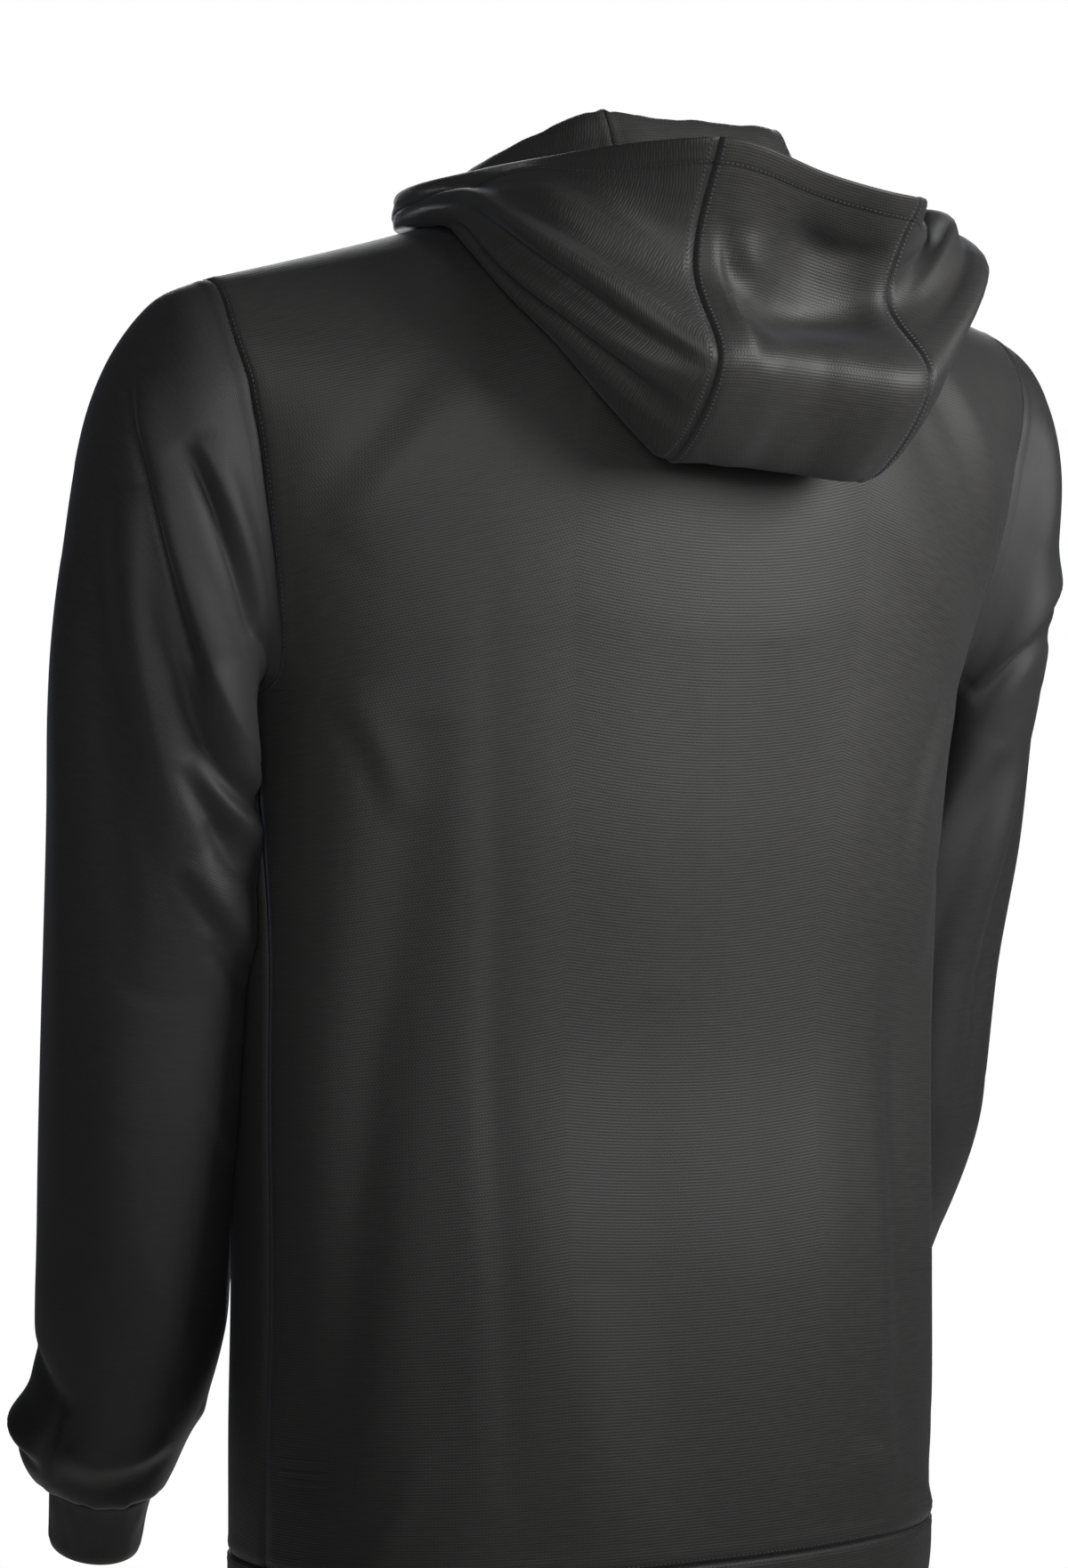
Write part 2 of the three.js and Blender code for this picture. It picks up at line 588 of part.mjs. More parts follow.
const AROUND = evenly(0, 2 * ARMHOLE_CELLS - 1, 2 * ARMHOLE_CELLS - 1);
const SLEEVE_RINGS = [
  ...[0, 0.25, 0.6, 1, 1.5, 2, 2.5],
  ...evenly(3, 11, 16),
  ...[11.5, 12, 12.5, 13, 13.5, SLEEVE_END],
];

function sleeveGrid(forward) {
  const grid = gridOf(sleeveSurface(forward), AROUND, SLEEVE_RINGS, SLEEVE_RANGE, 1);
  grid[0] = armholeRing();
  return grid;
}

function cuffGrid(forward, sleeveEnd) {
  const surface = (around, station) => bentForward(ovalPoint(cuff, around, station), forward);
  const grid = gridOf(surface, AROUND, evenly(0, CUFF.length - 1, 3), CUFF_RANGE, 1);
  grid[0] = grid[0].map(({ point }, j) => cell(point, sleeveEnd[j].normal));
  return grid;
}

const HOOD_ROWS = evenly(0, HOOD_KNOTS.length, 3 * HOOD_KNOTS.length);
const HOOD_CENTRE_CELLS = 3;
const HOOD_BACK_ANGLES = [
  ...BACK_ANGLES.slice(0, HOOD_CENTRE_CELLS + 1),
  ...evenly(HOOD_SEAM_ANGLE, 90, 2 * (NECK_CELLS - HOOD_CENTRE_CELLS)).slice(1),
];
const HOOD_ANGLES = [...HOOD_BACK_ANGLES, ...FRONT_ANGLES.slice(1)];

// Samples of the body's outer face under the hood, which the hood keeps clear of.
const shoulderSamples = [1, -1].flatMap((side) =>
  evenly(-SHOULDER_X, SHOULDER_X, 80).flatMap((x) =>
    evenly(0, 1, 30).map((share) => {
      const row = SHOULDER_Z - 180 * share * share;
      const surface = (a, b) => drapedBody(side, a, b);
      return { point: surface(x, row), normal: normalOf(surface, x, row, BODY_RANGE, -side) };
    }),
  ),
);

function clearOfShoulder(point, clearance) {
  const away = (sample) => sample.point.distanceToSquared(point);
  const nearest = shoulderSamples.reduce((best, next) => (away(next) < away(best) ? next : best));
  const height = point.clone().sub(nearest.point).dot(nearest.normal);
  return point.addScaledVector(nearest.normal, Math.max(0, clearance - height));
}

// One section of the hood, as a smooth curve from the neck seam to the hem.
function hoodSection(angle) {
  const side = angle <= 90 ? 1 : -1;
  const x = neckX(angle);
  const seam = topEdge(side, x);
  const knots = HOOD_KNOTS.map((name, i) => {
    const share = smoothstep((i + 1) / HOOD_KNOTS.length);
    const low = hood.lowTurn(angle);
    const turn = THREE.MathUtils.degToRad(low + (hood.highTurn(angle) - low) * share);
    const out = hood[name + "Out"](angle);
    return new THREE.Vector3(x + out * Math.sin(turn), seam.y + out * Math.cos(turn), hood[name + "Z"](angle));
  });
  const start = new THREE.Vector3(x, seam.y, seam.z);
  return new THREE.CatmullRomCurve3([start, ...knots], false, "centripetal");
}

// The neck seam as the hood's first row. Columns between the body's own lie on its straight edges.
function neckRing() {
  const topRow = (grid, corners) => {
    const out = edgesOut(grid, corners).last;
    return grid[grid.length - 1].map((entry, j) => ({ ...entry, away: out[j] }));
  };
  const behind = topRow(backGrid, BACK_CORNERS).slice(BACK_MIDDLE, BACK_MIDDLE + NECK_CELLS + 1);
  const before = topRow(frontGrid, FRONT_CORNERS).slice(0, FRONT_ANGLES.length).reverse();
  const shoulder = seamCell([behind[NECK_CELLS], before[0]]);
  const back = [...behind.slice(0, NECK_CELLS).map((entry) => seamCell([entry])), shoulder];
  const between = back.slice(HOOD_CENTRE_CELLS, -1).flatMap((entry, i) => {
    const next = back[HOOD_CENTRE_CELLS + i + 1];
    const normal = entry.normal.clone().add(next.normal).normalize();
    return [cell(entry.point.clone().lerp(next.point, 0.5), normal), next];
  });
  const front = before.slice(1).map((entry) => seamCell([entry]));
  return [...back.slice(0, HOOD_CENTRE_CELLS + 1), ...between, ...front];
}

// The sum of the hood's lumps at a place, each round and fading with the distance from its middle.
function hoodLump(angle, knot) {
  return HOOD_LUMPS.reduce((sum, lump) => {
    const off = ((angle - lump.angle) / lump.angleSpread) ** 2 + ((knot - lump.knot) / lump.knotSpread) ** 2;
    return sum.addScaledVector(new THREE.Vector3(lump.x, lump.y, lump.z), Math.exp(-off));
  }, new THREE.Vector3());
}

// The whole hood as one grid over both sides, so that its panels agree at their seams.
function hoodGrid() {
  const sections = HOOD_ANGLES.map(hoodSection);
  const half = HOOD_ROWS.map((row, i) =>
    sections.map((section) => {
      const point = section.getPoint(row / HOOD_KNOTS.length);
      return i === 0 ? point : clearOfShoulder(point, Math.min(HOOD_CLEARANCE, 0.7 * i));
    }),
  );
  const points = half.map((row) => {
    const other = row.slice(1).reverse();
    return [...other.map((point) => point.clone().multiply(new THREE.Vector3(-1, 1, 1))), ...row];
  });
  const angles = [...HOOD_ANGLES.slice(1).reverse().map((angle) => -angle), ...HOOD_ANGLES];
  points.forEach((row, i) => row.forEach((point, j) => point.add(hoodLump(angles[j], HOOD_ROWS[i]))));
  const start = neckRing();
  const flipped = mirrored([start.slice(1)])[0].reverse();
  const first = [...flipped, ...start];
  points[0] = first.map(({ point }) => point);
  return points.map((row, i) =>
    row.map((point, j) => {
      const left = row[Math.max(0, j - 1)];
      const right = row[Math.min(row.length - 1, j + 1)];
      const below = points[Math.max(0, i - 1)][j];
      const above = points[Math.min(points.length - 1, i + 1)][j];
      const across = right.clone().sub(left);
      const normal = above.clone().sub(below).cross(across).normalize();
      return i === 0 ? cell(point, first[j].normal) : cell(point, normal);
    }),
  );
}

function columnsFrom(grid, from, to) {
  return grid.map((row) => row.slice(from, to + 1));
}

// Cloth and metal
function clothMaterial(color) {
  return new THREE.MeshStandardMaterial({ color, roughness: 0.62, metalness: 0 });
}

function metalMaterial() {
  return new THREE.MeshStandardMaterial({ color: METAL_COLOUR, roughness: 0.4, metalness: 0.8 });
}

const hoodie = new THREE.Group();

function add(name, geometry, material, parent = hoodie) {
  const mesh = new THREE.Mesh(geometry, material);
  mesh.name = name;
  parent.add(mesh);
}

const band = bandGrid();

function addBody() {
  const cloth = clothMaterial(CLOTH_COLOUR);
  const front = trimmed(frontGrid, ["first", "last", "right"], FRONT_CORNERS);
  const back = trimmed(backGrid, ["first", "last", "left", "right"], BACK_CORNERS);
  add("back", wall(back), cloth);
  add("front_left", wall(front), cloth);
  add("front_right", wall(mirrored(front)), cloth);
  add("hem_band", wall(trimmed(band, ["last"])), cloth);
}

function addSleeve(side, forward, placed) {
  const cloth = clothMaterial(SLEEVE_COLOUR);
  const rings = sleeveGrid(forward);
  const cuffRings = cuffGrid(forward, rings[rings.length - 1]);
  add("sleeve_" + side, wall(placed(trimmed(rings, ["last"])), { wrap: true }), cloth);
  add("cuff_" + side, wall(placed(trimmed(cuffRings, ["first"])), { wrap: true }), cloth);
}

function addHood() {
  const cloth = clothMaterial(CLOTH_COLOUR);
  const grid = hoodGrid();
  const middle = HOOD_ANGLES.length - 1;
  const seam = HOOD_CENTRE_CELLS;
  const left = columnsFrom(grid, middle + seam, 2 * middle);
  const centre = columnsFrom(grid, middle - seam, middle + seam);
  const right = columnsFrom(grid, 0, middle - seam);
  add("hood_centre", wall(trimmed(centre, ["left", "right"])), cloth);
  add("hood_left", wall(trimmed(left, ["left"])), cloth);
  add("hood_right", wall(trimmed(right, ["right"])), cloth);
}

// The zip: two tapes behind the fronts, a chain between them, a slider with its pull tab, and a box.
const TAPE = { thickness: 1, from: -0.06, to: 0.5 };
const CHAIN = { halfWidth: 2.6, thickness: 2.2, sink: 1.3 };
const BOX = { height: 8, thickness: 3.4, sink: 0.7 };
const SLIDER = {
  length: 12,
  width: 9,
  plate: 1.4,
  lift: 0.4,
  backSink: 4,
  post: 3,
  below: 9,
  archLength: 7,
  archGap: 4.8,
  archThickness: 1,
  archRise: 2.2,
  archWidth: 2,
};
const TAB = { width: 7, length: 28, thickness: 1.2, bar: 1.2, slotWidth: 3.2, slotLength: 5.4, round: 2 };
const HINGE = { lift: 1, down: 1.4 };

// The fronts' and band's first two columns, from the hem to the neck seam.
const zipEdge = [...band.slice(0, -1), ...frontGrid].map((row) => row.slice(0, 2));

function tapeGrid() {
  return zipEdge.map(([edge, next]) =>
    [TAPE.from, (TAPE.from + TAPE.to) / 2, TAPE.to].map((share) => {
      const point = edge.point.clone().lerp(next.point, share);
      return cell(point, edge.normal.clone().lerp(next.normal, share).normalize());
    }),
  );
}

// The line down the middle of the front, with its outward direction.
const zipLine = zipEdge.map(([edge]) => {
  const point = edge.point.clone().setX(0);
  return cell(point, edge.normal.clone().setX(0).normalize());
});

// The place on the middle line at a height.
function zipPlace(z) {
  const next = zipLine.findIndex(({ point }, i) => i > 0 && point.z >= z);
  const [low, high] = [zipLine[next - 1], zipLine[next]];
  const share = (z - low.point.z) / (high.point.z - low.point.z);
  const point = low.point.clone().lerp(high.point, share);
  return cell(point, low.normal.clone().lerp(high.normal, share).normalize());
}

function zipStrip(fromZ, toZ, { halfWidth, thickness, sink }) {
  const inside = zipLine.filter(({ point }) => point.z > fromZ + 1 && point.z < toZ - 1);
  const places = [zipPlace(fromZ), ...inside, zipPlace(toZ)];
  const grid = places.map(({ point, normal }) =>
    [-halfWidth, halfWidth].map((x) => cell(point.clone().setX(x), normal)),
  );
  return wall(grid, { thickness, sink });
}

// An outline in the slider's own plane, raised along its normal.
function raised(outline, from, to) {
  const geometry = new THREE.ExtrudeGeometry(outline, { depth: to - from, bevelEnabled: false });
  return geometry.translate(0, 0, from);
}

function plateOutline() {
  const { width, length } = SLIDER;
  const shape = new THREE.Shape();
  shape.moveTo(-width / 2, length / 2 - 3);
  shape.lineTo(-width / 2 + 2, length / 2);
  shape.lineTo(width / 2 - 2, length / 2);
  shape.lineTo(width / 2, length / 2 - 3);
  shape.lineTo(width / 2 - 1, -length / 2);
  shape.lineTo(1 - width / 2, -length / 2);
  shape.closePath();
  return shape;
}

function rectangle(width, bottom, top) {
  const shape = new THREE.Shape();
  shape.moveTo(-width / 2, bottom);
  shape.lineTo(width / 2, bottom);
  shape.lineTo(width / 2, top);
  shape.lineTo(-width / 2, top);
  shape.closePath();
  return shape;
}

const wasm = await Module();
wasm.setup();

function solidOf(geometry) {
  const bare = geometry.clone();
  bare.deleteAttribute("normal");
  bare.deleteAttribute("uv");
  const merged = mergeVertices(bare, 1e-4);
  const mesh = new wasm.Mesh({
    numProp: 3,
    vertProperties: merged.attributes.position.array,
    triVerts: new Uint32Array(merged.index.array),
  });
  return new wasm.Manifold(mesh);
}

function geometryOf(solid) {
  const mesh = solid.getMesh();
  const geometry = new THREE.BufferGeometry();
  geometry.setAttribute("position", new THREE.BufferAttribute(mesh.vertProperties, 3));
  geometry.setIndex(new THREE.BufferAttribute(mesh.triVerts, 1));
  return geometry;
}

// The slider in its own frame: X across, Y up the zip and Z out of the cloth.
function sliderGeometry() {
  const top = SLIDER.lift + SLIDER.plate;
  const front = raised(plateOutline(), SLIDER.lift, top);
  const back = raised(plateOutline(), -SLIDER.backSink - SLIDER.plate, -SLIDER.backSink);
  const postTop = SLIDER.length / 2 - 0.5;
  const post = raised(rectangle(3, postTop - SLIDER.post, postTop), -SLIDER.backSink - 0.2, top - 0.2);
  const legHeight = top + SLIDER.archRise + SLIDER.archThickness;
  const half = SLIDER.archLength / 2;
  const gap = SLIDER.archGap / 2;
  const legs = [-1, 1].map((end) => {
    const [bottom, over] = [Math.min(end * gap, end * half), Math.max(end * gap, end * half)];
    return raised(rectangle(SLIDER.archWidth, bottom, over), top - 0.2, legHeight);
  });
  const archTop = raised(rectangle(SLIDER.archWidth, -half, half), top + SLIDER.archRise, legHeight);
  const pieces = [front, back, post, ...legs, archTop].map(solidOf);
  return geometryOf(pieces.reduce((sum, piece) => sum.add(piece)));
}

// The pull tab, hung by its bar from the slider's arch, in a frame at the hinge.
function tabGeometry() {
  const top = TAB.bar / 2;
  const half = TAB.width / 2;
  const bottom = top - TAB.length;
  const shape = new THREE.Shape();
  shape.moveTo(-half, top);
  shape.lineTo(-half, bottom + TAB.round);
  shape.lineTo(TAB.round - half, bottom);
  shape.lineTo(half - TAB.round, bottom);
  shape.lineTo(half, bottom + TAB.round);
  shape.lineTo(half, top);
  shape.closePath();
  const slot = new THREE.Path();
  slot.moveTo(-TAB.slotWidth / 2, -top);
  slot.lineTo(TAB.slotWidth / 2, -top);
  slot.lineTo(TAB.slotWidth / 2, -top - TAB.slotLength);
  slot.lineTo(-TAB.slotWidth / 2, -top - TAB.slotLength);
  slot.closePath();
  shape.holes.push(slot);
  return raised(shape, -TAB.thickness / 2, TAB.thickness / 2);
}

function addZip() {
  const cloth = clothMaterial(ZIP_COLOUR);
  const tape = tapeGrid();
  const tapeSink = { thickness: TAPE.thickness, sink: CLOTH + SEAM_GAP };
  add("zip_tape_left", wall(tape, tapeSink), cloth);
  add("zip_tape_right", wall(mirrored(tape), tapeSink), cloth);
  const neckZ = zipLine[zipLine.length - 1].point.z;
  const sliderPlace = zipPlace(neckZ - SLIDER.below);
  const chainTop = sliderPlace.point.z + SLIDER.length / 2 - SLIDER.post - 1.6;
  const boxTop = HEM_Z + BOX.height;
  add("zip_chain", zipStrip(boxTop + SEAM_GAP, chainTop, CHAIN), cloth);
  add("zip_box", zipStrip(HEM_Z, boxTop, { ...BOX, halfWidth: CHAIN.halfWidth }), metalMaterial());
  const frame = new THREE.Group();
  const out = sliderPlace.normal;
  const across = new THREE.Vector3(1, 0, 0);
  frame.position.copy(sliderPlace.point);
  frame.quaternion.setFromRotationMatrix(new THREE.Matrix4().makeBasis(across, out.clone().cross(across), out));
  hoodie.add(frame);
  add("zip_slider", sliderGeometry(), metalMaterial(), frame);
  const hinge = new THREE.Group();
  hinge.position.set(0, -HINGE.down, SLIDER.lift + SLIDER.plate + HINGE.lift);
  frame.add(hinge);
  add("zip_pull", tabGeometry(), metalMaterial(), hinge);
}

addBody();
addSleeve("left", FOREARM.leftForward, (grid) => grid);
addSleeve("right", FOREARM.rightForward, mirrored);
addHood();
addZip();

export default hoodie;
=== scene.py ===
# A zip-up hooded top in black polyester knit, dressed over its imported solids.
# Each cut piece is a thin shell on the form of its solid, with the folds listed one by one.
from functools import lru_cache

import bmesh
import bpy
import numpy as np
from bpy.props import FloatProperty, FloatVectorProperty, PointerProperty
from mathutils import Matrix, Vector


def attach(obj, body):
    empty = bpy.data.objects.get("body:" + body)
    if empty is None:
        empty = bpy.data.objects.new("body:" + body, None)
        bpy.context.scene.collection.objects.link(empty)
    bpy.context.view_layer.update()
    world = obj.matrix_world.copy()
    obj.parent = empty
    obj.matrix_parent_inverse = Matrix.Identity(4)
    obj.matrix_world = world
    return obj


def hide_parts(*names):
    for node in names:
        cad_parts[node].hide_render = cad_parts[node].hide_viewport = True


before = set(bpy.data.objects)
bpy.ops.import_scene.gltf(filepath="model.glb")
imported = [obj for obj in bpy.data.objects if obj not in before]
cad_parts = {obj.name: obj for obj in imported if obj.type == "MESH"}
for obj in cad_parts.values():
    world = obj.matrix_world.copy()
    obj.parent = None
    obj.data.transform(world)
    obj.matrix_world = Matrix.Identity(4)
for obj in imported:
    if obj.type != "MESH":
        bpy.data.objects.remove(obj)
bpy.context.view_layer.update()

bl_info = {
    "name": "Zip-up hooded top",
    "version": (1, 0, 0),
    "blender": (4, 5, 0),
    "location": "View3D > Sidebar > Hooded top",
    "description": "Builds a zip-up hooded top in knit cloth over its packed solids",
    "category": "Add Mesh",
}

MM = 0.001

# Driving sizes in millimetres, the same as in the part's source.
# X points to the wearer's left, Y to the back and Z up.
HEM_Z = -732
BAND_TOP_Z = -695
UNDERARM_Z = -255
SHOULDER_X = 238
SHOULDER_Z = -48
SHOULDER_REACH = 262
SHOULDER_BEND = 0.85
NECK_HALF_WIDTH = 78
NECK_BACK = (66, 14, 2)
NECK_FRONT = (-72, 80, 2.2)
BACK_ROUNDING = 135
FRONT_ROUNDING = 150
NECK_SLOPE_REACH = 100
NECK_SLOPE_SHARPNESS = 0.7
SQUARENESS = 2.4
ZIP_ANGLE = 177
HOOD_SEAM_ANGLE = 40
SIDE_SEAM_DEGREES = 6
SIDE_SEAM_REACH = 150
ARMHOLE_CUT_POWER = 5
ARMHOLE_CUT_REACH = 140
SLEEVE_CLEARANCE = 2.4
HOOD_CLEARANCE = 2
ARMHOLE_CELLS = 12
SLEEVE_END = 14
FOREARM_Z = -480
FOREARM_REACH = 130
RIGHT_FOREARM_FORWARD = 34

# How finely the shells are divided, in steps for each cell of the solids.
FINE = 6


def table(columns, rows):
    """Turns rows of numbers into arrays by column name."""
    return dict(zip(columns.split(), np.array(rows, float).T))


# The body's rings from the hem up: half width, depth behind and before the centre line, and its place.
BODY = table("z halfWidth backDepth frontDepth centreY", [
    [-732, 197.5, 121, 101, -30],
    [-695, 200.5, 122, 103, -30],
    [-650, 200.5, 122, 104, -30],
    [-560, 199, 118, 104, -28],
    [-450, 200, 108, 112, -26],
    [-330, 202, 118, 130, -20],
    [-255, 206, 124, 135, -15],
    [-244, 208.5, 125, 135, -14],
    [-200, 223, 125, 133, -10],
    [-150, 238, 122, 128, -6],
    [-120, 246, 121, 120, -4],
    [-95, 259, 119, 114, -3],
    [-70, 264, 116, 104, -1],
    [-48, 262, 113, 97, 0],
])

# The armhole seam, as a share of the body's half width.
ARMHOLE = table("z share", [
    [-255, 1],
    [-244, 0.984],
    [-200, 0.962],
    [-150, 0.947],
    [-120, 0.937],
    [-95, 0.915],
    [-70, 0.911],
    [-48, SHOULDER_X / SHOULDER_REACH],
])

# The left sleeve's sections from the armhole down: the outer and inner points of each oval,
# its place from front to back, its depth behind and before that line, and its lean in degrees.
SLEEVE = table("station outerX outerZ innerX innerZ y back front tilt", [
    [0, 238, -48, 206, -255, 0, 60, 55, 0],
    [1, 259, -57, 210.5, -250.5, -6, 62, 58, 0],
    [2, 276, -82, 215, -256, -14, 63, 60, 0],
    [3, 288, -120, 216.5, -267, -22, 62, 60, 4],
    [4, 293, -165, 214.5, -282, -30, 61, 60, 6],
    [5, 295, -215, 209, -300, -40, 60, 60, 8],
    [6, 294, -262, 201, -320, -50, 60, 60, 8],
    [7, 292, -320, 190, -352, -58, 59, 59, 8],
    [8, 288, -400, 180, -410, -74, 57, 57, 8],
    [9, 285, -480, 180, -482, -85, 56, 56, 8],
    [10, 283, -560, 182, -560, -97, 52, 52, 12],
    [11, 280, -608, 187, -606, -108, 48, 48, 18],
    [12, 285, -638, 195, -634, -118, 44, 44, 20],
    [13, 276, -660, 203, -656, -125, 39, 39, 20],
    [14, 264, -664, 209, -662, -127, 28, 28, 20],
])

# The left cuff in the same columns.
CUFF = table("station outerX outerZ innerX innerZ y back front tilt", [
    [0, 264, -664, 209, -662, -127, 28, 28, 20],
    [1, 263, -676, 211, -674, -131, 26, 26, 20],
    [2, 261, -688, 212, -686, -135, 25, 25, 20],
    [3, 260, -700, 212, -698, -139, 24.5, 24.5, 20],
])

# The hood's sections by their angle round the neck: for each knot from the neck seam to the
# hem of the face opening, the level distance out from the seam and the height.
HOOD_KNOTS = ["stand", "over", "low", "bottom", "belly", "dent", "hem"]
HOOD = table(
    "angle lowTurn highTurn standOut standZ overOut overZ lowOut lowZ bottomOut bottomZ "
    "bellyOut bellyZ dentOut dentZ hemOut hemZ",
    [
        [-40, -4, -4, 24, 38, 44, 2, 64, -102, 94, -141, 146, -98, 120, -50, 146, 5],
        [0, 0, 0, 14, 38, 32, 8, 50, -100, 82, -143, 130, -98, 104, -48, 133, 0],
        [40, 4, 4, 24, 38, 44, 2, 64, -102, 94, -141, 146, -98, 120, -50, 146, 5],
        [60, 24, 26, 15, 30, 34, -2, 66, -60, 82, -76, 118, -48, 104, -14, 78, 6],
        [90, 66, 42, 7, 16, 22, 12, 48, -9, 62, -16, 66, -7, 60, 1, 50, 9],
        [135, 120, 135, 8, -29, 14, -22, 20, -16, 25, -11, 29, -6, 32, -1, 35, 4],
        [177, 100, 128, 3, -73, 7, -67, 12, -61, 17, -55, 22, -49, 26, -43, 29, -37],
    ],
)
HOOD_LUMPS = table("angle knot angleSpread knotSpread x y z", [
    [42, 7.4, 34, 1.8, 0, 2, 5],
    [-42, 7.4, 34, 1.8, 0, 0, -16],
    [-42, 4, 30, 1, 0, 4, -7],
    [-66, 5.2, 20, 1.2, -17, 2, 15],
    [-22, 6.2, 22, 0.8, 0, -12, 0],
])

# Folds: each is a curve through three places on the cloth, with the width of its crest and its
# height in millimetres, negative for a trough. Lean makes one side steep, the right one where it
# is positive, and the cloth dips beside it.
FOLD_COLUMNS = "fromA fromB midA midB toA toB width height lean"

# The back's folds, by width and height on the body.
BACK_FOLDS = table(FOLD_COLUMNS, [
    [140, -205, 128, -400, 120, -700, 12, 2.0, -0.3],
    [154, -280, 168, -460, 186, -660, 22, -5.5, 0],
    [100, -260, 94, -480, 88, -690, 26, 1.4, 0],
    [-30, -250, -38, -390, -44, -560, 20, -1.0, 0],
    [-92, -280, -90, -480, -84, -690, 22, 1.6, 0.2],
    [-140, -380, -142, -530, -148, -700, 17, -2.6, 0],
    [-118, -400, -120, -550, -118, -700, 14, 2.2, -0.3],
    [-168, -330, -174, -480, -180, -640, 16, 2.6, 0],
    [30, -420, 26, -560, 18, -700, 26, -1.6, 0],
    [60, -560, 66, -630, 74, -700, 20, 1.4, 0],
    [138, -120, 165, -150, 196, -190, 17, 3.2, 0.3],
    [-140, -85, -172, -120, -205, -165, 17, 4.2, 0.3],
    [-110, -120, -150, -165, -190, -215, 16, -3.0, 0],
    [-96, -170, -140, -215, -190, -250, 15, 1.6, 0.2],
    [-188, -262, -160, -300, -150, -360, 12, 2.4, 0.3],
    [-196, -330, -176, -372, -168, -430, 12, -1.8, 0],
    [188, -262, 170, -292, 160, -330, 10, 2.0, 0.3],
])
BACK_CREASES = table(FOLD_COLUMNS, [
    [14, -240, 2, -360, -8, -470, 5, 0.35, 0],
    [2, -236, -12, -360, -22, -500, 5, 0.4, 0],
    [-12, -250, -26, -370, -36, -520, 6, 0.4, 0],
    [-28, -240, -40, -350, -50, -470, 5, 0.35, 0],
    [-44, -260, -54, -370, -64, -480, 6, 0.3, 0],
    [-192, -704, -150, -672, -96, -650, 11, 2.4, 0.4],
    [-196, -684, -150, -640, -112, -606, 12, -1.8, 0],
    [-180, -716, -110, -700, -60, -690, 7, 1.2, 0.2],
    [178, -706, 160, -670, 148, -630, 9, 1.2, 0],
    [40, -60, 70, -75, 110, -78, 12, -1.2, 0],
    [-40, -60, -70, -75, -110, -74, 12, -1.2, 0],
])
FRONT_FOLDS = table(FOLD_COLUMNS, [
    [70, -300, 66, -480, 62, -660, 22, 3, 0.2],
    [120, -330, 124, -510, 128, -690, 20, -4, 0],
    [160, -280, 166, -450, 168, -640, 18, 3, 0.2],
    [130, -140, 158, -175, 188, -220, 17, -3.5, 0],
    [150, -110, 178, -145, 206, -185, 15, 3.2, 0.3],
    [34, -420, 34, -560, 36, -690, 16, -2, 0],
    [96, -170, 106, -250, 112, -330, 18, 1.6, 0],
    [190, -262, 160, -300, 148, -360, 11, 2.6, 0.3],
])
FRONT_CREASES = table(FOLD_COLUMNS, [
    [196, -272, 176, -310, 166, -380, 9, -1.8, 0],
    [184, -700, 150, -668, 104, -650, 10, 2, 0.3],
    [14, -690, 36, -650, 70, -630, 9, 1.4, 0],
    [12, -600, 30, -580, 52, -576, 7, 0.9, 0],
    [12, -470, 34, -460, 60, -466, 8, 0.8, 0],
    [20, -230, 40, -215, 66, -212, 9, 0.9, 0],
])

# The left sleeve's folds, by steps round it from the underarm, back first, and stations down it.
# They fan out of the armhole and run down to the hollow of the elbow.
SLEEVE_FOLDS = table(FOLD_COLUMNS, [
    [2.6, 1.4, 2.7, 4.6, 3.2, 9.0, 24, 8.0, 0],
    [10.3, 2.2, 7.6, 3.4, 3.0, 4.7, 8.5, 7.5, 0.5],
    [9.9, 2.9, 7.4, 4.3, 4.6, 6.9, 9, -5.5, 0],
    [7.7, 1.9, 5.5, 1.75, 2.9, 1.4, 8, 5.0, 0.45],
    [8.1, 2.35, 6.3, 2.3, 3.4, 2.1, 6.5, -4.5, 0],
    [9.7, 3.4, 8.2, 5.0, 5.4, 7.3, 15, 5.5, 0.2],
    [11.2, 3.8, 10.0, 5.8, 8.4, 8.0, 14, -3.4, 0],
    [12.6, 4.4, 11.6, 6.6, 10.6, 9.6, 15, 3.2, 0],
    [5.8, 4.2, 4.3, 4.9, 2.7, 5.3, 7.5, 7.5, 0.3],
    [5.6, 4.9, 4.2, 5.6, 2.8, 5.9, 5, -3.6, 0],
    [6.0, 5.6, 4.5, 6.1, 2.8, 6.5, 8, 7.0, 0.4],
    [5.6, 6.4, 4.4, 6.8, 3.0, 7.0, 5, -3.8, 0],
    [6.4, 6.9, 4.8, 7.3, 3.0, 7.6, 7.5, 5.2, 0.4],
    [5.6, 7.5, 4.4, 7.75, 3.2, 7.9, 4.5, -2.8, 0],
    [14.6, 3, 15.8, 5, 16.6, 7, 13, -4, 0],
    [17.6, 4.6, 16.6, 7, 15.4, 9.6, 15, 4, 0.2],
    [20.4, 5.0, 19, 7.6, 17.8, 10.2, 12, -3.5, 0],
    [21.8, 3.6, 20.2, 4.6, 18.2, 5.6, 9, 4, 0.3],
    [22.2, 5.6, 20.4, 6.4, 18.4, 7.0, 9, 4, 0.3],
    [21.8, 7.2, 20, 7.9, 18, 8.5, 9, 3.2, 0.3],
    [7.6, 9.4, 6.2, 10, 4.4, 10.3, 12, 1.8, 0],
    [9.4, 9.8, 8.2, 10.3, 6.8, 10.5, 11, -1.4, 0],
])
